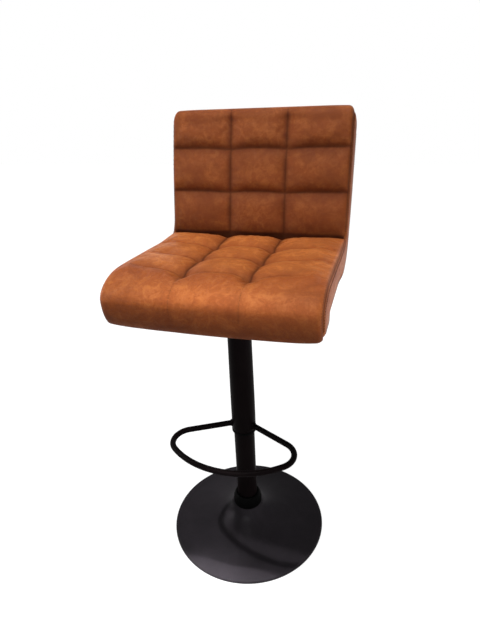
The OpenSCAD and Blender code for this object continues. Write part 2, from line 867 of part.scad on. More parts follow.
// Everything up to s on the back and within w of the middle, with top corners of radius r
module corner_cut(w, s, r) {
    top = back_pt(s, 0);
    reach = 4 * nose_reach;
    translate([0, top[0], top[1]])
        rotate([-90 - lean(s), 0, 0])
            mirror([0, 1, 0])
                translate([0, 0, -reach])
                    linear_extrude(height = 2 * reach)
                        union() {
                            translate([-w, -reach])
                                square([2 * w, reach - r]);
                            translate([r - w, -2 * r])
                                square([2 * (w - r), 2 * r]);
                            for (x = [-1, 1])
                                translate([x * (w - r), -r])
                                    circle(r = r);
                        }
}

module plywood_shell() {
    color([0.72, 0.55, 0.36])
        difference() {
            intersection() {
                across(2 * ply_half_w)
                    polygon(board_band(-ply_t / 2, ply_t / 2, ply_front, ply_top_s));
                corner_cut(ply_half_w, ply_top_s, cover_corner_r);
            }
            plate_holes(t_nut_r, underside_z, cover_t + ply_t + over);
            plate_holes(t_nut_flange_r, underside_z + cover_t + ply_t - t_nut_flange_t, ply_t);
        }
}

module rear_cover() {
    pocket = ply_t / 2 + seat_gap;
    color([0.5, 0.29, 0.19])
        difference() {
            intersection() {
                across(2 * cover_half_w)
                    polygon(board_band(-ply_t / 2 - cover_t, ply_t / 2, cover_front, cover_top_s));
                corner_cut(cover_half_w, cover_top_s, cover_corner_r);
            }
            across(2 * (ply_half_w + seat_gap))
                polygon(board_band(-pocket, pocket + over, ply_front - seat_gap, ply_top_s + seat_gap));
            plate_holes(t_nut_r, underside_z - over, cover_t + 2 * over);
        }
}

module seat_cushion() {
    faces = [for (c = columns)
        let (inset = nose_corner_inset * rounding(c[0], nose_corner_r) / nose_corner_r)
        [for (i = [0:len(seat_face) - 1])
            let (p = seat_face[i],
                off = left_of([for (q = seat_face) [q[0], q[1]]], i),
                sink = i == len(seat_face) - 1 ? 0 : sunk(1 - p[2], (1 - c[1]) * p[3]),
                y = p[0] - sink * off[0],
                low = i > nose_i ? nose_low_lift * rounding(c[0], nose_low_r) / nose_low_r : 0,
                z = p[1] - sink * off[1],
                nosed = y < nose_y ? nose_y + (y - nose_y) * (1 - inset / nose_depth) : y)
            [c[0], nosed, max(z, underside_z + low)]]];
    boards = [for (c = columns) [for (p = seat_board) with_x(c[0], p)]];
    color([0.66, 0.36, 0.21])
        cushion(faces, boards);
}

module back_cushion() {
    faces = [for (c = columns) concat(
        [for (p = back_face_rows)
            with_x(c[0], back_pt(lowered(p[0], c[0]), -sunk(1 - p[2], 1 - c[1])))],
        [for (i = [0:roll_steps])
            let (a = 180 * i / roll_steps,
                s = lowered(back_len, c[0]),
                sink = sunk(0, (1 - c[1]) * pow(cos(a / 2), roll_sink_power_share)))
            with_x(c[0], back_pt(s + (roll_r + sink) * sin(a), roll_r - (roll_r + sink) * cos(a)))])];
    n = len(back_face_rows) + roll_steps + 1;
    bend_n = 4;
    rear_n = 2;
    rise_n = n - bend_n - rear_n;
    low_angle = split_angle + split_gap * 180 / (PI * bend_r);
    boards = [for (c = columns)
        let (top_s = lowered(cover_top_s, c[0]) + pad_gap)
        concat(
            [for (i = [0:bend_n - 1])
                with_x(c[0], bend_pt(mixed(low_angle, 90 - lean_low, i / bend_n), pad_lift))],
            [for (i = [0:rise_n - 1])
                with_x(c[0], back_pt(top_s * i / (rise_n - 1), ply_depth - pad_lift))],
            [for (i = [1:rear_n])
                with_x(c[0], back_pt(top_s, mixed(ply_depth - pad_lift, back_t, i / rear_n)))])];
    color([0.52, 0.3, 0.2])
        cushion(faces, boards);
}

// Lever: the tongue turns on the pin and presses the button with its round nose
pin_r = pin_d / 2;
pin_end = 1;
lever_r = lever_d / 2;
plate_washer_t = 1.6;
plate_washer_r = 8.5;
t_nut_r = 5;
t_nut_flange_r = 9.5;
t_nut_flange_t = 1.2;
dust_margin = 45;
dust_w = plate_w + 2 * dust_margin;
tip_r = 2.8;
tip_z = button_top + seat_gap + tip_r;
pivot_drop = 11;
pivot_z = plate_z - pivot_drop;
tongue_w = 10;
tongue_wall = 3;
tongue_r = pin_r + tongue_wall;
tongue_end_gap = 4;
tongue_out = housing_out - tongue_end_gap;
tongue_cheek = 1;
tongue_h = lever_d + 2 * tongue_cheek;
rod_drop = 3;
rod_z = pivot_z - rod_drop;
slot_z = rod_z - lever_d;
slot_h = 3 * lever_d;
kink_1_out = 14;
kink_2_out = 34;
kink_drop = 12;
tip_drop = 17;
kink_1 = [-housing_out - kink_1_out, 0, rod_z];
kink_2 = [-housing_out - kink_2_out, 0, rod_z - kink_drop];
lever_tip = [-lever_reach, 0, rod_z - tip_drop];
grip_start = mixed(lever_tip, kink_2, grip_l / norm(kink_2 - lever_tip));

module tongue_outline() {
    hull_w = tip_r + lever_r;
    translate([-pivot_x, pivot_z])
        circle(r = tongue_r);
    translate([0, tip_z])
        circle(r = tip_r);
    polygon([[-pivot_x, pivot_z - tongue_r / 2], [-hull_w, tip_z - tip_r], [0, tip_z - tip_r],
        [0, tip_z + tip_r], [-pivot_x, pivot_z + tongue_r]]);
    translate([-tongue_out, rod_z - tongue_h / 2])
        square([tongue_out - pivot_x, tongue_h]);
}

module lever_tongue() {
    color([0.1, 0.1, 0.1])
        difference() {
            translate([0, tongue_w / 2, 0])
                rotate([90, 0, 0])
                    linear_extrude(height = tongue_w)
                        tongue_outline();
            translate([-pivot_x, tongue_w, pivot_z])
                rotate([90, 0, 0])
                    cylinder(r = pin_r + running, h = 2 * tongue_w);
        }
}

// A round bar from a to b, its ends square
module bar(a, b, r) {
    d = b - a;
    translate(a)
        rotate([0, acos(d[2] / norm(d)), atan2(d[1], d[0])])
            cylinder(r = r, h = norm(d));
}

module lever_rod() {
    color([0.08, 0.08, 0.08])
        union() {
            bar([-tongue_out, 0, rod_z], kink_1, lever_r);
            bar(kink_1, kink_2, lever_r);
            bar(kink_2, lever_tip, lever_r);
            translate(kink_1)
                sphere(r = lever_r);
            translate(kink_2)
                sphere(r = lever_r);
        }
}

module lever_grip() {
    d = lever_tip - grip_start;
    grip_r = grip_d / 2;
    cap_t = 2;
    color([0.04, 0.04, 0.04])
        translate(grip_start)
            rotate([0, acos(d[2] / norm(d)), atan2(d[1], d[0])])
                rotate_extrude()
                    polygon([[lever_r + running, 0], [lever_r + cap_t, 0],
                        [grip_r - cap_t, grip_l / 4], [grip_r, grip_l / 2],
                        [grip_r, grip_l - cap_t], [grip_r - cap_t, grip_l + cap_t / 2],
                        [0, grip_l + cap_t], [0, grip_l + running], [lever_r + running, grip_l + running]]);
}

module valve_button() {
    color([0.7, 0.7, 0.72])
        translate([0, 0, button_low])
            cylinder(r = button_r, h = button_l);
}

base_shell();
floor_ring();
ballast_disc();
foot_flange();
flange_bolts();
flange_nuts();
column_tube();
dome_collar();
guide_bushing();
bearing_lower_race();
bearing_balls();
bearing_cage();
bearing_upper_race();
piston_rod();
piston_head();
rod_washer();
rod_clip();
gas_cylinder();
rod_gland();
sleeve_tube();
sleeve_bushing();
footrest_ring();
taper_hub();
lever_housing();
lever_pin();
seat_plate();
plate_bolts();
plate_washers();
t_nuts();
dust_cover();
plywood_shell();
seat_cushion();
back_cushion();
rear_cover();
lever_tongue();
lever_rod();
lever_grip();
valve_button();
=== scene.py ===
"""Looks of a swivel bar stool: quilted cognac leather on a black gas-lift column.

Places are in metres: +Z up along the column, the sitter faces -Y, the lever is at -X.
"""

import math
from functools import cache

import bpy
import numpy as np
from mathutils import Matrix, Vector


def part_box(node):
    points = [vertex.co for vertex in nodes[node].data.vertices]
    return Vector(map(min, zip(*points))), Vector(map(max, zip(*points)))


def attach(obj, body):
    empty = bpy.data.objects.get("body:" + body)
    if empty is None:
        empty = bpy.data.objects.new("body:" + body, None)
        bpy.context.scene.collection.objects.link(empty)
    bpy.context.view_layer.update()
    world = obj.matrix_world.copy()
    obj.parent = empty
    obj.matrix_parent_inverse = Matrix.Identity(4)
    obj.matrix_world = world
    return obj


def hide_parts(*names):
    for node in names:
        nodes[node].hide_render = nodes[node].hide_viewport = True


bl_info = {
    "name": "Swivel bar stool",
    "version": (1, 0, 0),
    "blender": (4, 5, 0),
    "location": "3D View > Sidebar > Bar stool",
    "description": "Dresses a swivel bar stool with quilted leather and black powder coat",
    "category": "Object",
}

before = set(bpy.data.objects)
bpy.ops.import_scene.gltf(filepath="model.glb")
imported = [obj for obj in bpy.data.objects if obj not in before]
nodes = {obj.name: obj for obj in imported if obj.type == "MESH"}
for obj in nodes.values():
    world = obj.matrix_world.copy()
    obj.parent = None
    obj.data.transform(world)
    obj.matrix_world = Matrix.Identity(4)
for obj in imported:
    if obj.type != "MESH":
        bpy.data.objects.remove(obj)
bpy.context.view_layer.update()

# Sizes of the seat and the back, in metres; angles are in radians
HALF_W = 0.208
# Half the width of the quilted panels: the side panels roll over the edge and meet them here
HALF_Q = 0.2068
EDGE_R = 0.0085
EDGE_TUCK = 0.0015
# How far the side panels lean out below the seam, and back in at the seat's underside
SIDE_OUT = 0.0042
SIDE_IN = 0.0096
UNDERSIDE_Z = 0.660
CROWN_Z = 0.757
SEAT_FALL = 0.016
FALL_POWER = 1.2
NOSE_REACH = 0.204
NOSE_DEPTH = 0.084
NOSE_RISE = 0.053
NOSE_LOW_H = 0.066
NOSE_LOW_POWER = 0.46
CREASE_Z = 0.744
BACK_Y = 0.1625
BACK_LEN = 0.259
BACK_T = 0.051
LEAN_LOW = math.radians(8)
LEAN_HIGH = math.radians(17)
# The two lengthwise seams, the three across the seat, and the spacing of those across the back
SEAM_X = 0.065
SEAT_SEAMS_Y = (0.0635, -0.0305, -0.1245)
BACK_PITCH = 0.096
PLY_T = 0.012
COVER_T = 0.005
SEAT_REAR_Y = BACK_Y - 0.005
NOSE_Y = NOSE_DEPTH - NOSE_REACH
NOSE_Z = UNDERSIDE_Z + NOSE_RISE
# From the middle of the plywood to the foam on it
OVER_PLY = PLY_T / 2 + 0.0006

# How stiff the leather is while it swells
CLOTH = {"quality": 5, "mass": 0.3, "tension_stiffness": 15, "compression_stiffness": 15,
         "shear_stiffness": 8, "bending_stiffness": 2.0, "tension_damping": 5, "compression_damping": 5,
         "shear_damping": 5, "air_damping": 1, "use_pressure": True}
CLOTH_FRAMES = 20


class LeatherLook(bpy.types.PropertyGroup):
    """Sizes and colours of the quilted leather."""

    # light is also mixed onto the cushions' crowns, partly as painted highlight
    light: bpy.props.FloatVectorProperty(
        name="Light patches", description="Colour of the rubbed patches",
        subtype="COLOR", size=3, min=0, max=1, default=(0.51, 0.168, 0.042))
    mid: bpy.props.FloatVectorProperty(
        name="Leather", description="Main colour of the leather",
        subtype="COLOR", size=3, min=0, max=1, default=(0.285, 0.070, 0.017))
    # dark, dimmed, is also painted into the seams and creases as painted shade
    dark: bpy.props.FloatVectorProperty(
        name="Dark patches", description="Colour of the dark patches and the creases",
        subtype="COLOR", size=3, min=0, max=1, default=(0.165, 0.037, 0.010))
    roughness: bpy.props.FloatProperty(
        name="Roughness", description="Roughness of the satin finish",
        min=0.2, max=0.9, default=0.46)
    grid: bpy.props.FloatProperty(
        name="Grid", description="Spacing of the cloth's points",
        subtype="DISTANCE", unit="LENGTH", min=0.003, max=0.008, default=0.0042)
    growth: bpy.props.FloatProperty(
        name="Spare cloth", description="Share by which the cover is larger than the foam",
        min=0.0, max=0.12, default=0.015)
    pressure: bpy.props.FloatProperty(
        name="Foam pressure", description="Pressure of the foam under the cover",
        min=0.0, max=20.0, default=3.0)
    cap: bpy.props.FloatProperty(
        name="Most movement", description="How far the cover may move as it puffs up",
        subtype="DISTANCE", unit="LENGTH", min=0.001, max=0.02, default=0.006)
    stitch_l: bpy.props.FloatProperty(
        name="Stitch length", description="Length of one stitch",
        subtype="DISTANCE", unit="LENGTH", min=0.001, max=0.008, default=0.0034)
    stitch_pitch: bpy.props.FloatProperty(
        name="Stitch spacing", description="Distance from one stitch to the next",
        subtype="DISTANCE", unit="LENGTH", min=0.002, max=0.01, default=0.0052)
    thread_d: bpy.props.FloatProperty(
        name="Thread", description="Thickness of the thread",
        subtype="DISTANCE", unit="LENGTH", min=0.0003, max=0.002, default=0.0012)


class MetalLook(bpy.types.PropertyGroup):
    """Colours and finish of the metal and plastic pieces."""

    black: bpy.props.FloatVectorProperty(
        name="Powder coat", description="Colour of the black powder coat",
        subtype="COLOR", size=3, min=0, max=1, default=(0.0046, 0.0030, 0.0032))
    base_black: bpy.props.FloatVectorProperty(
        name="Base coat", description="Colour of the trumpet base",
        subtype="COLOR", size=3, min=0, max=1, default=(0.0275, 0.0240, 0.0280))
    roughness: bpy.props.FloatProperty(
        name="Roughness", description="Roughness of the powder coat",
        min=0.1, max=0.9, default=0.42)


class StageLook(bpy.types.PropertyGroup):
    """Lamps, floor and room light."""

    top_power: bpy.props.FloatProperty(
        name="Overhead lamp", description="Power of the lamp that sets the seat's shadow on the base",
        subtype="POWER", unit="POWER", min=0, max=500, default=82)
    beam_power: bpy.props.FloatProperty(
        name="Base beam", description="Power of the narrow beam on the front of the base",
        subtype="POWER", unit="POWER", min=0, max=5000, default=680)
    glow_power: bpy.props.FloatProperty(
        name="Glow", description="Power of the wide lamps that only show as reflections",
        subtype="POWER", unit="POWER", min=0, max=500, default=140)
    key_power: bpy.props.FloatProperty(
        name="Key lamp", description="Power of the lamp that sets the footrest's shadow on the base",
        subtype="POWER", unit="POWER", min=0, max=500, default=38)
    fill_power: bpy.props.FloatProperty(
        name="Fill lamp", description="Power of the soft lamp at the right",
        subtype="POWER", unit="POWER", min=0, max=500, default=14)
    front_power: bpy.props.FloatProperty(
        name="Front lamp", description="Power of the wide soft lamp in front",
        subtype="POWER", unit="POWER", min=0, max=500, default=10.5)
    rear_power: bpy.props.FloatProperty(
        name="Rear lamp", description="Power of the wide soft lamp behind",
        subtype="POWER", unit="POWER", min=0, max=500, default=17)
    floor_glow: bpy.props.FloatProperty(
        name="Floor whiteness", description="Share of white that the camera sees on the floor",
        min=0, max=1, default=0.975)
    sky: bpy.props.FloatProperty(
        name="Room light", description="Strength of the even light all round",
        min=0, max=3, default=0.045)


def look(name):
    """The values that a user sets in one group."""
    return getattr(bpy.context.scene, name)


class Shade:
    """The nodes of a material, a group or the room, with short calls that add to them."""

    def __init__(self, tree, shader=None):
        self.tree = tree
        self.shader = shader

    def put(self, value, socket):
        """Links another node's output to a socket, or sets the socket's value."""
        if isinstance(value, bpy.types.NodeSocket):
            self.tree.links.new(value, socket)
        else:
            socket.default_value = value

    def node(self, kind, settings=(), **inputs):
        made = self.tree.nodes.new(kind)
        for key, value in dict(settings).items():
            setattr(made, key, value)
        for key, value in inputs.items():
            self.put(value, made.inputs[key.replace("_", " ")])
        return made

    def place(self):
        return self.node("ShaderNodeTexCoord").outputs["Object"]

    def axes(self, vector):
        return self.node("ShaderNodeSeparateXYZ", Vector=vector).outputs

    def math(self, operation, *numbers):
        made = self.node("ShaderNodeMath", {"operation": operation})
        for number, socket in zip(numbers, made.inputs):
            self.put(number, socket)
        return made.outputs[0]

    def mul(self, a, b):
        return self.math("MULTIPLY", a, b)

    def plus(self, a, b):
        return self.math("ADD", a, b)

    def mix(self, share, a, b):
        """Colour a with a share of colour b."""
        made = self.node("ShaderNodeMix", {"data_type": "RGBA"})
        self.put(share, made.inputs[0])
        for colour, socket in ((a, made.inputs[6]), (b, made.inputs[7])):
            self.put(colour if isinstance(colour, bpy.types.NodeSocket) else (*colour[:3], 1), socket)
        return made.outputs[2]

    def ramp(self, value, low, high):
        return self.node("ShaderNodeMapRange", From_Min=low, From_Max=high, Value=value).outputs["Result"]

    def noise(self, vector, scale, detail=3.0, rough=0.55, distortion=0.0):
        return self.node("ShaderNodeTexNoise", Vector=vector, Scale=scale, Detail=detail, Roughness=rough,
                         Distortion=distortion).outputs["Fac"]

    def stretched(self, vector, scale, rotation=(0, 0, 0)):
        return self.node("ShaderNodeMapping", Vector=vector, Scale=scale, Rotation=rotation).outputs[0]

    def cells(self, vector, scale, randomness=1.0):
        return self.node("ShaderNodeTexVoronoi", {"feature": "F1"}, Vector=vector, Scale=scale,
                         Randomness=randomness).outputs["Distance"]

    def wave(self, vector, scale, distortion, direction="X"):
        return self.node("ShaderNodeTexWave", {"bands_direction": direction}, Vector=vector, Scale=scale,
                         Distortion=distortion).outputs["Fac"]

    def group(self, tree, **inputs):
        return self.node("ShaderNodeGroup", {"node_tree": tree}, **inputs).outputs

    def finish(self, **inputs):
        """Links or sets the shader's own inputs."""
        for key, value in inputs.items():
            self.put(value, self.shader.inputs[key.replace("_", " ")])

    def bump(self, height, distance, strength):
        bumped = self.node("ShaderNodeBump", Height=height, Distance=distance, Strength=strength)
        self.finish(Normal=bumped.outputs[0])

    def white_rays(self):
        """1 for the rays that see a white room: from the camera, in reflections and through glass."""
        path = self.node("ShaderNodeLightPath").outputs
        seen = self.math("MAXIMUM", path["Is Camera Ray"], path["Is Transmission Ray"])
        return self.math("MAXIMUM", seen, path["Is Glossy Ray"])


def new_group(name, inputs, outputs):
    """A node group with its inputs, which are numbers or colours, and its outputs."""
    tree = bpy.data.node_groups.new(name, "ShaderNodeTree")
    for label, value in inputs.items():
        kind = "NodeSocketFloat" if isinstance(value, float) else "NodeSocketColor"
        tree.interface.new_socket(label, in_out="INPUT", socket_type=kind).default_value = value
    for label in outputs:
        kind = "NodeSocketColor" if label == "Color" else "NodeSocketFloat"
        tree.interface.new_socket(label, in_out="OUTPUT", socket_type=kind)
    return Shade(tree), tree.nodes.new("NodeGroupInput").outputs, tree.nodes.new("NodeGroupOutput").inputs


def material(name):
    """A new material, and the nodes round its shader."""
    m = bpy.data.materials.new(name)
    m.use_nodes = True
    return m, Shade(m.node_tree, m.node_tree.nodes["Principled BSDF"])


@cache
def patches_group():
    """Cloudy patches of a rubbed two-tone leather."""
    g, i, o = new_group("Rubbed patches", {
        "Scale": 1.0, "Wear": 0.0, "Light": (0.5, 0.2, 0.07, 1), "Mid": (0.36, 0.1, 0.04, 1),
        "Dark": (0.17, 0.04, 0.02, 1)}, ("Color", "Rubbed"))
    scaled = g.node("ShaderNodeVectorMath", {"operation": "SCALE"}, Scale=i["Scale"])
    g.put(g.place(), scaled.inputs[0])
    v = scaled.outputs[0]
    clouds = g.noise(v, 15.0, 5.0, 0.60, 0.5)
    blots = g.noise(v, 58.0, 6.0, 0.66, 0.9)
    flecks = g.noise(v, 240.0, 4.0, 0.7, 0.3)
    body = g.mix(g.ramp(clouds, 0.18, 0.56), i["Dark"], i["Mid"])
    body = g.mix(g.mul(g.ramp(clouds, 0.42, 0.60), 0.55), body, i["Mid"])
    rub = g.mul(g.ramp(blots, 0.44, 0.62), g.ramp(clouds, 0.32, 0.58))
    # Wear carries the crowns: rubbed patches and strokes grow paler there, partly as wear and partly as
    # painted highlight
    body = g.mix(g.mul(rub, g.plus(g.mul(i["Wear"], 0.45), 0.30)), body, i["Light"])
    strokes = g.noise(g.stretched(v, (22.0, 95.0, 95.0), (0.2, 0.15, 0.35)), 1.0, 4.0, 0.62, 1.1)
    brushed = g.mul(g.ramp(strokes, 0.57, 0.72), g.plus(g.mul(i["Wear"], 0.32), 0.18))
    body = g.mix(brushed, body, i["Light"])
    g.put(g.mix(g.mul(g.ramp(flecks, 0.50, 0.33), 0.36), body, i["Dark"]), o["Color"])
    g.put(rub, o["Rubbed"])
    return g.tree


@cache
def grain_group():
    """Pebbled grain with fine wrinkles."""
    g, i, o = new_group("Leather grain", {"Pebble": 620.0, "Wrinkle": 70.0}, ("Height", "Lines"))
    v = g.place()
    pebble = g.math("SUBTRACT", 1.0, g.cells(v, i["Pebble"]))
    wrinkles = g.math("SUBTRACT", g.noise(v, i["Wrinkle"], 5.0, 0.7, 1.6), 0.5)
    ridges = g.ramp(g.math("ABSOLUTE", wrinkles), 0.0, 0.05)
    height = g.plus(g.mul(pebble, 0.55), g.mul(g.noise(v, 260.0, 2.0), 0.5))
    g.put(g.plus(height, g.mul(ridges, 0.55)), o["Height"])
    g.put(ridges, o["Lines"])
    return g.tree


@cache
def powder_group():
    """Orange peel of a powder coat, with faint smudges."""
    g, i, o = new_group("Powder coat texture", {"Grain": 900.0, "Smudge": 9.0}, ("Height", "Smudges"))
    v = g.place()
    g.put(g.noise(v, i["Grain"], 2.0, 0.5), o["Height"])
    g.put(g.ramp(g.noise(v, i["Smudge"], 5.0, 0.65, 0.8), 0.3, 0.7), o["Smudges"])
    return g.tree


@cache
def turned_group():
    """Fine turning or grinding lines round an axis."""
    g, i, o = new_group("Ground lines", {"Lines": 2200.0}, ("Height", "Streaks"))
    lines = g.noise(g.stretched(g.place(), (0.03, 0.03, 1.0)), i["Lines"], 3.0, 0.6)
    g.put(lines, o["Height"])
    g.put(g.ramp(lines, 0.35, 0.65), o["Streaks"])
    return g.tree


@cache
def dust_group():
    """Small scattered specks of dust."""
    g, i, o = new_group("Dust", {"Scale": 420.0, "Low": 0.66, "High": 0.80}, ("Specks",))
    g.put(g.ramp(g.noise(g.place(), i["Scale"], 2.0, 0.5), i["Low"], i["High"]), o["Specks"])
    return g.tree


@cache
def mould_group():
    """Fine grain that a mould leaves on plastic or rubber."""
    g, i, o = new_group("Mould grain", {"Scale": 1300.0}, ("Grain",))
    g.put(g.noise(g.place(), i["Scale"], 3.0, 0.6), o["Grain"])
    return g.tree


@cache
def leather():
    """Rubbed cognac leather; the crease attribute paints shade into seams and creases, and crown paints the
    tops paler, partly as rubbed wear and partly as painted highlight.
    """
    values = look("stool_leather")
    m, t = material("Cognac leather")
    crease, crown = (t.node("ShaderNodeAttribute", {"attribute_name": name}).outputs["Fac"]
                     for name in ("crease", "crown"))
    patches = t.group(patches_group(), Wear=crown, Light=(*values.light, 1), Mid=(*values.mid, 1),
                      Dark=(*values.dark, 1))
    grain = t.group(grain_group())
    # painted highlight and wear: crowns mixed toward the light colour
    rubbed = t.mul(crown, t.plus(t.mul(patches["Rubbed"], 0.58), 0.37))
    body = t.mix(rubbed, patches["Color"], values.light)
    # fine dark lines where the worn leather has cracked
    cracked = t.mul(t.ramp(grain["Lines"], 0.75, 0.25), t.plus(t.mul(crown, 0.18), 0.10))
    body = t.mix(cracked, body, values.dark)
    # painted shade: seams and creases darkened by the crease attribute
    body = t.mix(t.mul(crease, 0.85), body, [c * 0.30 for c in values.dark])
    rough = t.plus(t.mul(patches["Rubbed"], -0.08), t.mul(crease, 0.2))
    t.finish(Base_Color=body, Roughness=t.plus(rough, values.roughness), Specular_IOR_Level=0.075)
    t.bump(grain["Height"], 0.0006, 0.60)
    return m


@cache
def thread():
    """Twisted dark brown thread, paler in the seams over the seat's nose."""
    m, t = material("Brown thread")
    v = t.place()
    twist = t.wave(v, 900.0, 2.0)
    x, y, _ = t.axes(v)
    nose = t.mul(t.ramp(y, -0.15, -0.165), t.ramp(t.math("ABSOLUTE", x), 0.16, 0.14))
    dark = t.mix(twist, (0.022, 0.006, 0.003), (0.060, 0.018, 0.007))
    t.finish(Base_Color=t.mix(nose, dark, (0.150, 0.044, 0.014)), Roughness=t.ramp(twist, -1.5, 1.2),
             Specular_IOR_Level=0.12)
    t.bump(twist, 0.0002, 0.6)
    return m


@cache
def powder():
    """Satin black powder coat."""
    values = look("stool_metal")
    m, t = material("Black powder coat")
    coat = t.group(powder_group())
    body = t.mix(coat["Smudges"], [c * 0.85 for c in values.black], [c * 1.25 for c in values.black])
    rough = t.plus(t.mul(coat["Smudges"], 0.07), values.roughness - 0.035)
    t.finish(Base_Color=body, Roughness=rough, Specular_IOR_Level=0.012)
    t.bump(coat["Height"], 0.0003, 0.12)
    return m


@cache
def base_coat():
    """Satin black coat of the spun base, with faint spinning rings, smudges and dust."""
    colour = look("stool_metal").base_black
    m, t = material("Base coat")
    coat = t.group(powder_group(), Smudge=14.0)
    x, y, _ = t.axes(t.place())
    radius = t.math("SQRT", t.plus(t.mul(x, x), t.mul(y, y)))
    rings = t.noise(t.node("ShaderNodeCombineXYZ", X=radius).outputs[0], 260.0, 3.0, 0.6)
    dust = t.mul(t.group(dust_group())["Specks"], 0.25)
    body = t.mix(coat["Smudges"], [c * 0.9 for c in colour], [c * 1.15 for c in colour])
    rough = t.plus(t.mul(coat["Smudges"], 0.04), t.mul(rings, 0.04))
    t.finish(Base_Color=t.mix(dust, body, [c * 3 for c in colour]),
             Roughness=t.plus(rough, 0.26), Specular_IOR_Level=0.018)
    t.bump(t.plus(t.mul(rings, 0.3), t.mul(coat["Height"], 0.3)), 0.0002, 0.05)
    return m


def plywood():
    """Rotary-cut birch: long grain, short flecks and darker glue lines across the height."""
    m, t = material("Birch plywood")
    v = t.place()
    grain = t.noise(t.stretched(v, (60.0, 3.0, 3.0)), 1.4, 6.0, 0.6, 0.8)
    short = t.ramp(t.noise(t.stretched(v, (420.0, 40.0, 40.0)), 1.0, 2.0), 0.58, 0.70)
    plies = t.ramp(t.wave(v, 150.0, 0.6, "Z"), 0.75, 0.95)
    wood = t.mix(t.ramp(grain, 0.3, 0.7), (0.42, 0.25, 0.12), (0.60, 0.41, 0.22))
    wood = t.mix(t.mul(short, 0.4), wood, (0.30, 0.16, 0.07))
    wood = t.mix(t.mul(plies, 0.25), wood, (0.22, 0.12, 0.06))
    t.finish(Base_Color=wood, Roughness=t.ramp(grain, -1.6, 1.3))
    t.bump(grain, 0.0004, 0.35)
    return m


def dust_cloth():
    """Black non-woven cloth: crossing fibres with small pressed dots."""
    m, t = material("Dust cloth")
    v = t.place()
    weft, warp = (t.noise(t.stretched(v, scale, (0, 0, 0.6)), 1.0, 2.0, 0.6, 1.2)
                  for scale in ((900.0, 90.0, 300.0), (90.0, 900.0, 300.0)))
    fibres = t.math("MAXIMUM", weft, warp)
    body = t.mix(t.ramp(fibres, 0.45, 0.75), (0.006, 0.006, 0.007), (0.030, 0.030, 0.033))
    t.finish(Base_Color=body, Roughness=t.ramp(fibres, -4.0, 1.0), Specular_IOR_Level=0.08)
    dots = t.ramp(t.cells(v, 420.0, 0.1), 0.15, 0.35)
    t.bump(t.plus(fibres, t.mul(dots, 0.5)), 0.0005, 0.6)
    return m


def rubber():
    """Matt black rubber with mould grain and pale dust."""
    m, t = material("Black rubber")
    grain = t.group(mould_group(), Scale=700.0)["Grain"]
    dust = t.mul(t.group(dust_group(), Scale=260.0, Low=0.62, High=0.74)["Specks"], 0.5)
    patches = t.ramp(t.noise(t.place(), 18.0, 4.0), 0.35, 0.65)
    body = t.mix(patches, (0.008, 0.008, 0.008), (0.016, 0.016, 0.016))
    t.finish(Base_Color=t.mix(dust, body, (0.07, 0.065, 0.06)), Roughness=t.ramp(grain, -3.0, 1.4),
             Specular_IOR_Level=0.12)
    t.bump(grain, 0.0004, 0.4)
    return m


def cast_iron():
    """Rough casting: pits, sand grain and a first bloom of rust."""
    m, t = material("Cast ballast")
    v = t.place()
    sand = t.noise(v, 480.0, 4.0, 0.65)
    pits = t.ramp(t.cells(v, 140.0), 0.10, 0.32)
    rust = t.mul(t.ramp(t.noise(v, 22.0, 6.0, 0.7, 0.6), 0.54, 0.68), 0.55)
    body = t.mix(pits, (0.035, 0.034, 0.036), (0.085, 0.084, 0.088))
    t.finish(Base_Color=t.mix(rust, body, (0.16, 0.062, 0.025)), Roughness=t.ramp(sand, -2.0, 1.3),
             Metallic=0.3)
    t.bump(t.plus(t.mul(sand, 0.5), t.mul(pits, 0.6)), 0.0010, 0.6)
    return m


def nylon():
    """Natural nylon with flow marks and a grey film of grease."""
    m, t = material("Natural nylon")
    v = t.place()
    flow = t.noise(v, 40.0, 4.0, 0.55, 1.5)
    grease = t.mul(t.ramp(t.noise(v, 90.0, 5.0, 0.7), 0.50, 0.70), 0.45)
    body = t.mix(t.ramp(flow, 0.35, 0.65), (0.52, 0.51, 0.45), (0.66, 0.65, 0.60))
    t.finish(Base_Color=t.mix(grease, body, (0.18, 0.17, 0.15)),
             Roughness=t.math("SUBTRACT", 0.55, t.mul(grease, 0.5)), Subsurface_Weight=0.1)
    t.bump(flow, 0.0003, 0.2)
    return m


@cache
def black_plastic():
    """Moulded black plastic with a fine spark-eroded grain, sheen on high spots and scuffs."""
    m, t = material("Moulded black plastic")
    grain = t.group(mould_group())["Grain"]
    scratches = t.noise(t.stretched(t.place(), (120.0, 900.0, 120.0), (0.3, 0.2, 0.5)), 1.0, 3.0, 0.6)
    body = t.mix(t.ramp(grain, 0.35, 0.65), (0.0008, 0.0008, 0.0008), (0.0020, 0.0020, 0.0020))
    body = t.mix(t.mul(t.ramp(scratches, 0.66, 0.78), 0.3), body, (0.012, 0.012, 0.012))
    t.finish(Base_Color=body, Roughness=t.plus(t.mul(grain, 0.2), 0.42), Specular_IOR_Level=0.015)
    t.bump(grain, 0.0003, 0.25)
    return m


def metal(name, dark, bright, roughness):
    """Ground or turned metal between two colours."""
    m, t = material(name)
    lines = t.group(turned_group())
    t.finish(Base_Color=t.mix(lines["Streaks"], dark, bright), Metallic=1.0,
             Roughness=t.plus(t.mul(lines["Streaks"], 0.12), roughness))
    t.bump(lines["Height"], 0.0002, 0.15)
    return m


def dress(names, finish):
    """Gives nodes of the frame one finish."""
    for name in names:
        slots = nodes[name].data.materials
        slots.clear()
        slots.append(finish)


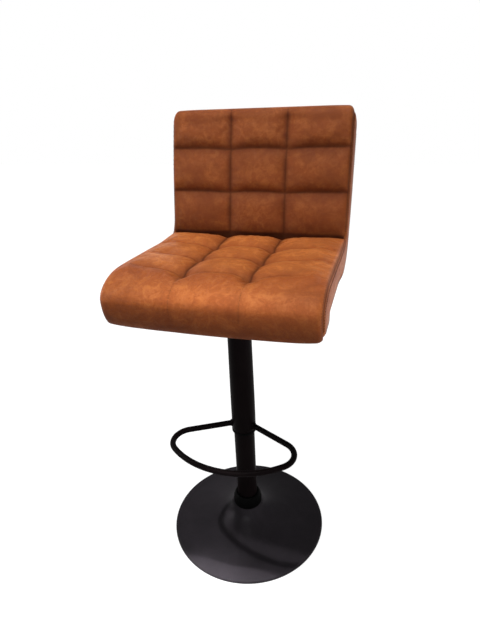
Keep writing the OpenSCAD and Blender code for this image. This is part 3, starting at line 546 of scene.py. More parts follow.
def mesh_object(name, points, faces, finish, body):
    """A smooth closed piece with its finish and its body."""
    mesh = bpy.data.meshes.new(name)
    mesh.from_pydata([tuple(p) for p in points], [], [tuple(f) for f in faces])
    # a closed mesh whose faces look inward has a negative volume
    fans = np.array([(f[0], f[i], f[i + 1]) for f in faces for i in range(1, len(f) - 1)])
    a, b, c = (np.asarray(points, float)[fans[:, k]] for k in range(3))
    if np.einsum("ij,ij->", a, np.cross(b, c)) < 0:
        mesh.flip_normals()
    mesh.update()
    obj = bpy.data.objects.new(name, mesh)
    bpy.context.scene.collection.objects.link(obj)
    mesh.materials.append(finish)
    mesh.polygons.foreach_set("use_smooth", [True] * len(mesh.polygons))
    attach(obj, body)
    return obj


def smooth_step(x, low=0.0, high=1.0):
    """0 up to low, 1 from high on, and an S curve between them."""
    t = np.clip((np.asarray(x, float) - low) / (high - low), 0, 1)
    return t * t * (3 - 2 * t)


def trail(distance, width, power=2):
    """1 at a line, dying out to both sides over about its width."""
    return np.exp(-((distance / width) ** power))


def puff(t, power=3.0):
    """0 at both ends and 1 in the middle, the flatter the higher its power."""
    return 1 - np.abs(2 * t - 1) ** power


def rounding(x, r, half=HALF_W):
    """How far a rounded corner of radius r falls back at x."""
    u = np.clip(np.abs(x) - (half - r), 0, r)
    return r - np.sqrt(np.maximum(r * r - u * u, 0))


def nearest(places, place):
    """Index of the place that lies nearest."""
    return int(np.argmin(np.abs(places - place)))


def around(n):
    """n angles evenly round a circle."""
    return [2 * math.pi * j / n for j in range(n)]


def path_lengths(line):
    """Length along a line up to each of its points."""
    return np.concatenate([[0], np.cumsum(np.linalg.norm(np.diff(line, axis=0), axis=1))])


def along_line(want, at, line):
    """The line's points, or its normals, at the wanted lengths."""
    return np.stack([np.interp(want, at, line[:, k]) for k in range(line.shape[1])], -1)


def resample(line, n):
    """n points evenly spaced along a line."""
    at = path_lengths(line)
    return along_line(np.linspace(0, at[-1], n), at, line)


def add_rows(stops, step):
    """Rows from stop to stop, about step apart, that hold every stop."""
    rows = [stops[0]]
    for a, b in zip(stops, stops[1:]):
        n = max(1, round((b - a) / step))
        rows += [a + (b - a) * k / n for k in range(1, n + 1)]
    return np.array(rows)


def spread(x, plane):
    """Points from a grid of places across and their [y, z]."""
    return np.concatenate([x[..., None], np.broadcast_to(plane, (*x.shape, 2))], -1)


def grid_faces(rows, cols, first=0, ring=False, loop=False):
    """Quads of a grid of points; a ring joins its last column to the first, a loop its last row."""
    faces = []
    for i in range(rows if loop else rows - 1):
        low, high = first + i * cols, first + (i + 1) % rows * cols
        for j in range(cols if ring else cols - 1):
            k = (j + 1) % cols
            faces.append((low + j, low + k, high + k, high + j))
    return faces


def tube_faces(rings, sides, first=0):
    """Faces of a closed tube of rings."""
    last = first + (rings - 1) * sides
    ends = [tuple(range(first, first + sides))[::-1], tuple(range(last, last + sides))]
    return grid_faces(rings, sides, first, ring=True) + ends


def line_normals(line):
    """Outward normals of a [y, z] line that runs with the outside at its right."""
    t = np.gradient(line, axis=0)
    n = np.stack([t[:, 1], -t[:, 0]], 1)
    return n / np.linalg.norm(n, axis=1, keepdims=True)


def grid_normals(grid):
    """Normals at the points of a grid."""
    n = np.cross(np.gradient(grid, axis=1), np.gradient(grid, axis=0))
    return n / np.maximum(np.linalg.norm(n, axis=2, keepdims=True), 1e-9)


def cushion(name, top, under, flip=False):
    """One closed leather form from a face grid and an underside grid of the same shape."""
    rows, cols = top.shape[:2]
    n = rows * cols
    faces = grid_faces(rows, cols)
    faces += [tuple(reversed(f)) for f in grid_faces(rows, cols, n)]
    rim = list(range(cols))
    rim += [i * cols + cols - 1 for i in range(1, rows)]
    rim += [(rows - 1) * cols + j for j in range(cols - 2, -1, -1)]
    rim += [i * cols for i in range(rows - 2, 0, -1)]
    faces += [(b, a, a + n, b + n) for a, b in zip(rim, rim[1:] + rim[:1])]
    if flip:
        faces = [tuple(reversed(f)) for f in faces]
    points = np.concatenate([top.reshape(-1, 3), under.reshape(-1, 3)])
    return mesh_object(name, points, faces, leather(), "carriage")


def paint_shade_sheen_and_wear(obj, crease, crown):
    """Marks a cushion's face with painted shade in its creases and with paler crowns, partly rubbed wear and
    partly painted highlight, and makes its mesh finer.
    """
    for name, values in (("crease", crease), ("crown", crown)):
        marks = np.zeros(len(obj.data.vertices), np.float32)
        marks[:values.size] = values.ravel()
        obj.data.attributes.new(name, "FLOAT", "POINT").data.foreach_set("value", marks)
    sub = obj.modifiers.new("Finer", "SUBSURF")
    sub.levels = sub.render_levels = 1
    with bpy.context.temp_override(object=obj, active_object=obj, selected_objects=[obj]):
        bpy.ops.object.modifier_apply(modifier=sub.name)


def swell(obj, pins, growth, pressure, cap):
    """Blows the cover up between its pinned seams with Blender's cloth, and keeps the result."""
    scene = bpy.context.scene
    start = np.array([v.co for v in obj.data.vertices], float)
    held = obj.vertex_groups.new(name="pins")
    pins = np.round(pins, 2)
    for weight in np.unique(pins[pins > 0]):
        held.add(np.where(pins == weight)[0].tolist(), float(weight), "REPLACE")
    cloth = obj.modifiers.new("Cover", "CLOTH")
    for key, value in CLOTH.items():
        setattr(cloth.settings, key, value)
    cloth.settings.uniform_pressure_force = pressure
    cloth.settings.shrink_min = cloth.settings.shrink_max = -growth
    cloth.settings.vertex_group_mass = "pins"
    cloth.settings.effector_weights.gravity = 0
    cloth.collision_settings.use_collision = False
    cloth.collision_settings.use_self_collision = False
    cloth.point_cache.frame_start = 1
    cloth.point_cache.frame_end = CLOTH_FRAMES
    for f in range(1, CLOTH_FRAMES + 1):
        scene.frame_set(f)
    shown = obj.evaluated_get(bpy.context.evaluated_depsgraph_get())
    move = np.array([v.co for v in shown.data.vertices], float) - start
    obj.modifiers.clear()
    obj.vertex_groups.clear()
    scene.frame_set(1)
    size = np.linalg.norm(move, axis=1, keepdims=True)
    move *= np.minimum(1, cap / np.maximum(size, 1e-9))
    obj.data.vertices.foreach_set("co", (start + move).ravel())
    obj.data.update()


def stitches(name, runs):
    """Thread stitches along runs of (points, outward normals)."""
    values = look("stool_leather")
    r = values.thread_d / 2
    sides = 6
    # place along the stitch, and its share of the full thickness there
    rings = [(-0.5, 0.25), (-0.36, 0.9), (0.0, 1.0), (0.36, 0.9), (0.5, 0.25)]
    points, faces = [], []
    for line, normals in runs:
        at = path_lengths(line)
        for k in range(int(at[-1] // values.stitch_pitch)):
            mid = (k + 0.5) * values.stitch_pitch
            a, b = (along_line(mid + side * values.stitch_l / 2, at, line) for side in (-1, 1))
            n = along_line(mid, at, normals)
            n /= np.linalg.norm(n)
            ahead = (b - a) / max(np.linalg.norm(b - a), 1e-9)
            across = np.cross(ahead, n)
            faces += tube_faces(len(rings), sides, len(points))
            for share, thick in rings:
                # the ends dip into the leather
                rise = r * (0.5 - 1.6 * share * share)
                centre = (a + b) / 2 + ahead * share * values.stitch_l + n * rise
                points += [centre + r * thick * (math.cos(w) * across + math.sin(w) * n)
                           for w in around(sides)]
    return mesh_object(name, points, faces, thread(), "carriage")


def stitch_run(grid, normals, x, place, part, lift):
    """Part of the line down a grid at one place across it, lifted a little, and its normals."""
    line = np.stack([along_line(place, x, row) for row in grid])[part]
    out = normals[part, nearest(x, place)]
    return line + out * lift, out


def lathe(name, profile, turns, finish, body):
    """A closed [r, z] profile turned round the column's axis, its faces to the outside."""
    r, z = np.asarray(profile).T
    if np.dot(r, np.roll(z, -1)) < np.dot(z, np.roll(r, -1)):
        profile = profile[::-1]
    points = [(r * math.cos(w), r * math.sin(w), z) for r, z in profile for w in around(turns)]
    faces = grid_faces(len(profile), turns, ring=True, loop=True)
    return mesh_object(name, points, faces, finish, body)


ARC_R = BACK_LEN / (LEAN_HIGH - LEAN_LOW)


def back_pt(s, d):
    """[y, z] at s up the back's face and d behind it."""
    a = LEAN_LOW + (LEAN_HIGH - LEAN_LOW) * np.asarray(s, float) / BACK_LEN
    y = BACK_Y + ARC_R * (math.cos(LEAN_LOW) - np.cos(a)) + d * np.cos(a)
    z = CREASE_Z + ARC_R * (np.sin(a) - math.sin(LEAN_LOW)) - d * np.sin(a)
    return np.stack([y, z], -1)


PLY_MID_Z = UNDERSIDE_Z + COVER_T + PLY_T / 2
PLY_DEPTH = BACK_T - COVER_T - PLY_T / 2
BEND_R = float((back_pt(0, PLY_DEPTH)[1] - PLY_MID_Z) / (1 - math.sin(LEAN_LOW)))
BEND_Y = float(back_pt(0, PLY_DEPTH)[0] - BEND_R * math.cos(LEAN_LOW))
BEND_Z = PLY_MID_Z + BEND_R
BEND_END = math.pi / 2 - LEAN_LOW


def bend_pt(a, d):
    """[y, z] on the bend between seat and back, at angle a from straight down."""
    a = np.asarray(a, float)
    return np.stack([BEND_Y + (BEND_R - d) * np.sin(a), BEND_Z - (BEND_R - d) * np.cos(a)], -1)


def seat_line():
    """[y, z] along the seat's face from the crease over the nose to its lower edge."""
    y = np.linspace(SEAT_REAR_Y + 0.004, NOSE_Y, 60)
    fall = SEAT_FALL * (np.abs(NOSE_Y - y) / (SEAT_REAR_Y - NOSE_Y)) ** FALL_POWER
    top = np.stack([y, CROWN_Z - fall + 0.005 * smooth_step(y, 0.06, 0.15)], 1)
    a = np.radians(np.linspace(2, 90, 30))
    upper = np.stack([NOSE_Y - NOSE_DEPTH * np.sin(a), NOSE_Z + (CROWN_Z - NOSE_Z) * np.cos(a)], 1)
    a = np.radians(np.linspace(93, 143, 18))
    lower = np.stack([NOSE_Y - NOSE_DEPTH * np.sin(a) ** NOSE_LOW_POWER, NOSE_Z + NOSE_LOW_H * np.cos(a)], 1)
    line = np.concatenate([top, upper, lower])
    line[:, 1] = np.maximum(line[:, 1], UNDERSIDE_Z + 0.0005)
    return line


def end_share(s):
    """How much the quilt turns down at its side edges: less at the crease, where s is 0."""
    return 0.25 + 0.75 * smooth_step(s, 0.0, 0.035)


def across_share(x):
    """Share across a tile, whether the tile is at a side, and whether x is in its outer half."""
    side = np.abs(x) > SEAM_X
    t = np.where(side, (np.abs(x) - SEAM_X) / (HALF_Q - SEAM_X), (x / SEAM_X + 1) / 2)
    t = np.clip(t, 0, 1)
    return t, side, side & (t > 0.5)


def tile_across(x):
    """Height of the puff across the tiles: 0 in a seam, 1 on a crown, and 0.75 at a side edge."""
    t, _, outer = across_share(x)
    p = puff(t, 2.8)
    return np.where(outer, 1 - 0.25 * (1 - p), p)


def bow(x, size):
    """How far a crosswise seam bows between its crossings."""
    t, side, _ = across_share(x)
    at_side = np.sin(np.minimum(t, 0.6) / 0.6 * math.pi / 2) ** 0.8
    return size * np.where(side, at_side, 1 - (2 * t - 1) ** 2)


covers = {}


class Quilt:
    """Grid of a quilted cover: S along it and X across it, its tiles and its seams."""

    def __init__(self, name, stops, seams, tile_ends, outward, skip):
        self.name, self.seams, self.outward, self.skip = name, seams, outward, skip
        self.values = look("stool_leather")
        step = self.values.grid
        self.rows = add_rows(stops, step)
        # columns are closer together where the quilt's edge turns down
        inner = add_rows([-(HALF_Q - EDGE_R), -SEAM_X, SEAM_X, HALF_Q - EDGE_R], step)
        edge = HALF_Q - EDGE_R + EDGE_R * np.sin(np.radians([20, 38, 54, 68, 80, 90]))
        self.x = np.concatenate([-edge[::-1], inner, edge])
        self.S, self.X = np.meshgrid(self.rows, self.x, indexing="ij")
        self.to_edge = HALF_Q - np.abs(self.X)
        self.to_long = np.abs(np.abs(self.X) - SEAM_X)
        self.to_cross = np.min([np.abs(self.S - s) for s in seams], axis=0)
        ends = np.array(tile_ends)
        self.tile = np.clip(np.searchsorted(ends, self.S, side="right") - 1, 0, 2)
        start = ends[self.tile]
        self.share = np.clip((self.S - start) / (ends[self.tile + 1] - start), 0, 1)
        self.edge_fall = rounding(self.X, EDGE_R, HALF_Q) * end_share(self.S)

    def puff_up(self, obj, long_hold, cross_hold, end_hold, growth, pressure):
        """Swells the cover between its seams and edges, each held as firmly as its share says."""
        near = self.values.grid * 0.6
        held = np.where(self.to_long < near, long_hold, 0.0)
        held = np.maximum(held, np.where(self.to_cross < near, cross_hold, 0.0))
        held[:2] = held[-2:] = 1
        held[:, 0] = held[:, -1] = 1
        held = np.maximum(held, end_hold)
        held = np.maximum(held, smooth_step(np.abs(self.X), HALF_Q - 0.016, HALF_Q - 0.006))
        swell(obj, np.concatenate([held.ravel(), np.ones(held.size)]), self.values.growth * growth,
              self.values.pressure * pressure, self.values.cap)
        face = [v.co for v in obj.data.vertices][:held.size]
        self.grid = np.array(face, float).reshape(*held.shape, 3)
        covers[self.name] = self

    def sew(self):
        """Stitches along the long seams, beside the side edges and along the cross seams."""
        normals = grid_normals(self.grid) * self.outward
        runs = []
        for sign in (-1, 1):
            seam, edge = slice(2, -self.skip), slice(3, 4 - self.skip)
            runs.append(stitch_run(self.grid, normals, self.x, sign * SEAM_X, seam, 0.0001))
            runs.append(stitch_run(self.grid, normals, self.x, sign * (HALF_Q - 0.0016), edge, 0.0003))
        for s in self.seams:
            i = nearest(self.rows, s)
            out = normals[i, 2:-2]
            runs.append((self.grid[i, 2:-2] + out * 0.0001, out))
        stitches(f"{self.name}_stitches", runs)


def side_outline():
    """[y, z] of the side panel's upper edge, and the lower edge that belongs to each place."""
    seat = resample(seat_line(), 220)
    tuck = EDGE_TUCK + EDGE_R * end_share(path_lengths(seat))
    seat = (seat - tuck[:, None] * line_normals(seat))[::-1]
    # the nose's corners are rounded by this share of its depth
    y = seat[:, 0]
    seat[:, 0] = np.where(y < NOSE_Y, NOSE_Y + (y - NOSE_Y) * (1 - 0.0056 / NOSE_DEPTH), y)
    seat[:, 1] = np.maximum(seat[:, 1], UNDERSIDE_Z + 0.0075)
    seat = seat[seat[:, 0] < SEAT_REAR_Y - 0.004]
    top_s = BACK_LEN - 0.0052
    s = np.linspace(0.004, top_s, 90)
    rise = back_pt(s, EDGE_TUCK + EDGE_R * end_share(s))
    r = BACK_T / 2 - EDGE_TUCK - EDGE_R
    turn = np.linspace(0, math.pi * 0.92, 24)[1:]
    roll = back_pt(top_s + r * np.sin(turn), BACK_T / 2 - r * np.cos(turn))
    upper = np.concatenate([seat, rise, roll])
    skin = 0.0012
    front = np.array([[seat[0, 0] + 0.001, UNDERSIDE_Z + 0.0066]])
    y = np.linspace(-0.168, BEND_Y, 60)
    flat = np.stack([y, UNDERSIDE_Z + skin + 0.0046 * (1 - smooth_step(y, -0.170, -0.145))], 1)
    bend = bend_pt(np.linspace(0, BEND_END, 30)[1:], skin - PLY_T / 2 - COVER_T)
    rear = back_pt(np.linspace(0, BACK_LEN - 0.010, 70)[1:], BACK_T - skin)
    lower = np.concatenate([front, flat, bend, rear])
    # pair each place above with one below: nose with the front, crease with the bend
    n_nose, n_seat, n_rise = int(np.sum(seat[:, 0] < NOSE_Y)), len(seat), len(seat) + len(rise)
    marks_up = [0, n_nose, n_seat - 12, n_seat + 22, n_rise - 1, len(upper) - 1]
    marks_low = [0, 16, 50, 91, len(lower) - 8, len(lower) - 1]
    sides = []
    for line, marks in ((upper, marks_up), (lower, marks_low)):
        parts = [resample(line[a:b + 1], n) for a, b, n in zip(marks, marks[1:], (26, 62, 34, 50, 22))]
        sides.append(np.concatenate([parts[0], *(part[1:] for part in parts[1:])]))
    return sides


def shine(name, kind, power, at, aim, diffuse=True, glossy=False, **settings):
    """A lamp at one place, turned to another."""
    light = bpy.data.lights.new(name, kind)
    light.energy = power
    for key, value in settings.items():
        setattr(light, key, value)
    obj = bpy.data.objects.new(name, light)
    obj.location = at
    obj.rotation_euler = (Vector(aim) - Vector(at)).to_track_quat("-Z", "Y").to_euler()
    obj.visible_diffuse = diffuse
    obj.visible_glossy = glossy
    bpy.context.scene.collection.objects.link(obj)


class STOOL_OT_stage(bpy.types.Operator):
    """Floor, room light, lamps and camera"""

    bl_idname = "stool.stage"
    bl_label = "Stage"

    def execute(self, context):
        scene = context.scene
        values = scene.stool_stage
        scene.view_settings.view_transform = "Standard"

        # the camera as fitted to the photo: its turn round the stool, its tilt and its roll, its place
        # before, beside and above the stool's foot, and its focal length as a share of the photo's height
        az, down, roll = (math.radians(v) for v in (17.69, 25.891, -2.907))
        before, beside, above = 0.965116, 0.003142, 1.068424
        focal = 490.069 / 640
        back = Vector((math.sin(az), -math.cos(az), 0))
        right = Vector((math.cos(az), math.sin(az), 0))
        at = back * before + right * beside + Vector((0, 0, above))
        ahead = -back * math.cos(down) - Vector((0, 0, math.sin(down)))
        up = right.cross(ahead)
        r = right * math.cos(roll) + up * math.sin(roll)
        u = -right * math.sin(roll) + up * math.cos(roll)
        lens = bpy.data.cameras.new("Camera")
        lens.sensor_width = 36
        lens.lens = focal * lens.sensor_width
        lens.clip_start = 0.01
        camera = bpy.data.objects.new("Camera", lens)
        camera.matrix_world = Matrix((*zip(r, u, -ahead, at), (0, 0, 0, 1)))
        scene.collection.objects.link(camera)
        scene.camera = camera

        m, t = material("White floor")
        fine = t.noise(t.place(), 60.0, 3.0)
        t.finish(Emission_Color=(1, 1, 1, 1), Emission_Strength=t.mul(t.white_rays(), values.floor_glow),
                 Base_Color=t.mix(fine, (0.12, 0.12, 0.12), (0.14, 0.14, 0.14)),
                 Roughness=t.ramp(fine, -1.0, 1.4), Specular_IOR_Level=0.1)
        mesh = bpy.data.meshes.new("floor")
        edge = 6.0
        corners = [(-edge, -edge, 0), (edge, -edge, 0), (edge, edge, 0), (-edge, edge, 0)]
        mesh.from_pydata(corners, [], [(0, 1, 2, 3)])
        floor = bpy.data.objects.new("floor", mesh)
        mesh.materials.append(m)
        scene.collection.objects.link(floor)

        world = bpy.data.worlds.new("Room")
        world.use_nodes = True
        scene.world = world
        t = Shade(world.node_tree, world.node_tree.nodes["Background"])
        t.finish(Color=(1, 1, 1, 1), Strength=t.plus(t.mul(t.white_rays(), 1 - values.sky), values.sky))

        overhead = (0.06, -0.50, 4.6)
        for name, power, at, aim, (wide, high) in (
                ("Overhead", values.top_power, overhead, (0, 0, 0.6), (0.09, 0.09)),
                ("Key", values.key_power, (-0.80, -0.56, 2.75), (0, 0, 0.6), (0.08, 0.08)),
                ("Fill", values.fill_power, (2.1, 0.2, 0.9), (0, 0, 0.7), (1.2, 1.2)),
                ("Front", values.front_power, (0.35, -1.6, 0.35), (0, 0, 0.68), (1.4, 0.8)),
                ("Rear", values.rear_power, (-0.6, 2.6, 0.85), (0, 0, 0.75), (1.6, 1.0))):
            shine(name, "AREA", power, at, aim, shape="RECTANGLE", size=wide, size_y=high)
        for name, share, at, aim, (wide, high) in (
                ("Overhead glow", 1, overhead, (0, 0, 0.6), (1.4, 1.4)),
                ("Front glow", 0.45, (0.2, -2.4, 2.9), (0, 0, 0.8), (1.8, 1.2)),
                ("Left glow", 0.20, (-1.8, -0.25, 1.25), (0, 0, 0.1), (0.9, 0.9))):
            shine(name, "AREA", values.glow_power * share, at, aim, diffuse=False, glossy=True,
                  shape="RECTANGLE", size=wide, size_y=high)
        for name, share, at, aim, degrees, blend in (
                ("Overhead beam", 1.60, overhead, (0.0, -0.545, 0), 11, 0.35),
                ("Base beam", 0.76, (-0.05, -1.5, 2.2), (-0.04, -0.225, 0), 4.2, 0.9),
                ("Side beam", 0.08, (2.0, -0.5, 0.8), (0.21, 0.0, 0.72), 15, 0.6)):
            shine(name, "SPOT", values.beam_power * share, at, aim, spot_size=math.radians(degrees),
                  spot_blend=blend, shadow_soft_size=0.05)
        return {"FINISHED"}


class STOOL_OT_seat_cover(bpy.types.Operator):
    """Quilted seat cushion, swollen between its seams by a cloth simulation"""

    bl_idname = "stool.seat_cover"
    bl_label = "Seat cushion"

    def execute(self, context):
        line = resample(seat_line(), 800)
        at = path_lengths(line)
        end = at[-1]
        seams = [float(np.interp(-y, -line[:, 0], at)) for y in SEAT_SEAMS_Y]
        last = seams[2]
        # how deep the seams and the side edges pull in, and how far the cross seams bow
        long_in, cross_in, edge_in, bow_l = 0.0092, 0.0036, 0.0060, 0.009
        crossing_in, crossing_r = 0.0045, 0.016
        # the nose's corners: how far they fall back and how far they lift, each with its radius
        corner_in, corner_r, corner_up, lift_r, belly = 0.006, 0.026, 0.0078, 0.062, 0.0045
        quilt = Quilt("seat", [0.0, *seams, end], seams, [0.0, *seams], outward=1, skip=8)
        S, X, to_long, to_cross = quilt.S, quilt.X, quilt.to_long, quilt.to_cross
        # the crosswise seams bow to the rear between their crossings
        near = smooth_step(S, 0.0, seams[0]) * (1 - smooth_step(S, last + 0.01, last + 0.10))
        place = np.clip(S - bow(X, bow_l) * near, 0, end)
        Y, Z = np.moveaxis(along_line(place, at, line), -1, 0)
        NY, NZ = np.moveaxis(along_line(place, at, line_normals(line)), -1, 0)
        along = np.where(S > last, smooth_step(S, last, last + 0.035), puff(quilt.share))
        across = tile_across(X)
        outer = across_share(X)[2]
        # the long seams run out over the nose, and the cross seams toward the sides
        fade = 1 - smooth_step(S, last + 0.002, last + 0.058)
        inward = 1 - 0.95 * smooth_step(np.abs(X), 0.095, 0.180)
        long_sink = (1 - across) * np.where(outer, 1.0, fade + 0.04 * (1 - fade))
        cross_sink = np.where(S < seams[0] * 0.5, 0.9 * trail(S, 0.007, 1.5), 1 - along)
        crossing = trail(np.hypot(to_long, to_cross), crossing_r)
        depth = np.where(outer, edge_in, long_in) * long_sink + cross_in * cross_sink * inward
        depth += crossing_in * crossing + quilt.edge_fall
        Y -= depth * NY
        Z -= depth * NZ
        # rounded nose corners, and a lower edge that hangs in the middle and lifts at its ends
        inset = corner_in * rounding(X, corner_r) / corner_r
        Y = np.where(Y < NOSE_Y, NOSE_Y + (Y - NOSE_Y) * (1 - inset / NOSE_DEPTH), Y)
        lift = corner_up * rounding(X, lift_r) / lift_r
        sag = belly * (1 - (X / HALF_Q) ** 2)
        Z -= sag * smooth_step(S, end - 0.075, end - 0.02)
        Z = np.maximum(Z, UNDERSIDE_Z + 0.0005 - sag + lift * (S > end - 0.05))
        top = np.stack([X, Y, Z], -1)
        # underside on the plywood, inset a little from the side panels
        front, flat_z = 0.045 - NOSE_REACH, PLY_MID_Z + OVER_PLY
        bend = bend_pt(np.radians(np.linspace(42, 0, 10)), OVER_PLY)
        lip = [[front, flat_z - 0.008], [front - 0.0005, UNDERSIDE_Z + 0.0004],
               [front - 0.002, UNDERSIDE_Z + 0.0003], [front - 0.006, UNDERSIDE_Z + 0.0002]]
        run = np.linspace(BEND_Y, front, len(S) - len(bend) - len(lip) + 1)[1:]
        under = np.concatenate([bend, np.stack([run, np.full_like(run, flat_z)], 1), lip])
        obj = cushion("seat_cushion_cover", top, spread(X * 0.985, under[:, None]), flip=True)
        quilt.puff_up(obj, S < last + 0.01, inward, 0.7 * smooth_step(S, last + 0.015, last + 0.06), 1, 1)
        # painted shade in the seams, at their crossings, along the side edges and at the rear crease
        crease = np.max([
            (0.88 * trail(to_long, 0.0036, 1.3) + 0.20 * trail(to_long, 0.012, 1.6)) * fade,
            0.42 * inward * trail(to_cross, 0.0030, 1.3),
            0.8 * trail(quilt.to_edge, 0.0009, 1.3),
            trail(S, 0.008),
            0.16 * (1 - fade) * trail(to_long, 0.0012, 1.5),
            0.62 * crossing,
            # painted shade toward the nose's lower edge
            0.62 * smooth_step(S, end - 0.054, end - 0.016)], axis=0)
        nose = smooth_step(S, last + 0.02, last + 0.07) * (1 - smooth_step(S, end - 0.10, end - 0.05))
        # paler tile tops and nose band: partly rubbed wear, partly painted highlight
        crown = 0.75 * across * along * (S < last) + 0.40 * nose
        # painted highlight: a pale line along each tile's rear edge
        for seam in seams:
            crown += 0.55 * inward * trail(S - seam - 0.0046, 0.0024) * np.minimum(to_long / 0.02, 1)
        paint_shade_sheen_and_wear(obj, crease, crown)
        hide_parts("seat_cushion")
        return {"FINISHED"}


class STOOL_OT_back_cover(bpy.types.Operator):
    """Quilted back cushion, swollen between its seams by a cloth simulation"""

    bl_idname = "stool.back_cover"
    bl_label = "Back cushion"

    def execute(self, context):
        roll_r = BACK_T / 2
        roll_l = math.pi * roll_r
        seams = [BACK_PITCH, 2 * BACK_PITCH]
        # how deep the seams and the side edges pull in, less where two meet, and the top corners' radius
        long_in, cross_in, edge_in, less_in, corner_r, bow_l = 0.0100, 0.0098, 0.006, 0.006, 0.015, 0.0035
        quilt = Quilt("back", [0.0, *seams, BACK_LEN, BACK_LEN + roll_l], seams,
                      [0.0, *seams, BACK_LEN + roll_r], outward=-1, skip=10)
        S, X, to_long, to_cross, k, t = (
            quilt.S, quilt.X, quilt.to_long, quilt.to_cross, quilt.tile, quilt.share)
        # each tile is fullest low down, and the top one runs on into the roll
        low = puff(t, 5.0)
        low = np.where(k == 0, 1 - 0.5 * (1 - low), low)
        along = np.where(t < 0.5, low, np.where(k < 2, puff(t, 2.8), 1))
        across = tile_across(X)
        outer = across_share(X)[2]
        fade = 1 - smooth_step(S, BACK_LEN - 0.008, BACK_LEN + 0.024)
        long_sink = (1 - across) * np.where(outer, 1.0, fade)
        cross_sink = (1 - along) * (1 - 0.7 * smooth_step(np.abs(X), HALF_Q - 0.014, HALF_Q - 0.001))
        depth = np.where(outer, edge_in, long_in) * long_sink + cross_in * cross_sink
        depth += quilt.edge_fall - less_in * long_sink * cross_sink * ~outer
        # the face rises to the rounded corners, then rolls over to the rear
        corner = rounding(X, corner_r, HALF_Q + 0.003)
        face = S + bow(X, bow_l) * trail(to_cross, 0.03)
        face -= corner * np.clip((face - BACK_LEN + 0.04) / 0.04, 0, 1)
        rolled = S > BACK_LEN
        turn = np.clip((S - BACK_LEN) / roll_l, 0, 1) * math.pi
        r = roll_r - depth
        s_at = np.where(rolled, BACK_LEN - corner + r * np.sin(turn), np.minimum(face, BACK_LEN))
        top = spread(X, back_pt(s_at, np.where(rolled, roll_r - r * np.cos(turn), depth)))
        # rear side on the plywood
        bend = bend_pt(np.linspace(math.radians(43), BEND_END, 12), OVER_PLY)[:-1]
        under = []
        for x in quilt.x:
            s_top = BACK_LEN - 0.0046 - rounding(x, 0.014, HALF_Q + 0.003)
            rise = back_pt(np.linspace(0, s_top, len(S) - len(bend) - 2), PLY_DEPTH - OVER_PLY)
            rear = back_pt(np.array([s_top, s_top + 0.0003]), np.array([PLY_DEPTH + 0.004, BACK_T - 0.0004]))
            under.append(np.concatenate([bend, rise, rear]))
        obj = cushion("back_cushion_cover", top, spread(X * 0.985, np.stack(under, 1)))
        quilt.puff_up(obj, np.where(rolled, 0.7, 1.0), 1.0,
                      0.97 * smooth_step(S, BACK_LEN - 0.020, BACK_LEN + 0.004), 0.3, 0.7)
        # painted shade in the seams, under each tile's full lower edge, at the foot of the back, in the
        # gathers at the top corners and along the side edges
        top_edge = trail(quilt.to_edge, 0.007) * smooth_step(S, BACK_LEN - 0.06, BACK_LEN - 0.01)
        long_crease = 0.90 * trail(to_long, 0.0034, 1.3) + 0.10 * trail(to_long, 0.011, 1.6)
        crease = np.max([
            long_crease * np.minimum(fade + 0.12, 1),
            trail(to_cross, 0.0036, 1.4),
            0.42 * ((t >= 0.5) & (k < 2)) * trail(to_cross, 0.017, 1.5),
            0.30 * trail(S, 0.030, 1.5),
            0.6 * np.clip(np.sin(S / 0.0085 * 2 * math.pi), 0, 1) * top_edge,
            0.8 * trail(quilt.to_edge, 0.0009, 1.3),
            trail(S, 0.007)], axis=0)
        # painted shade: the whole face is darkened by a further 0.38 of crease; the crowns are a little
        # paler, partly wear and partly painted highlight
        paint_shade_sheen_and_wear(obj, np.minimum(crease + 0.38, 1), across * along * 0.16)
        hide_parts("back_cushion")
        return {"FINISHED"}


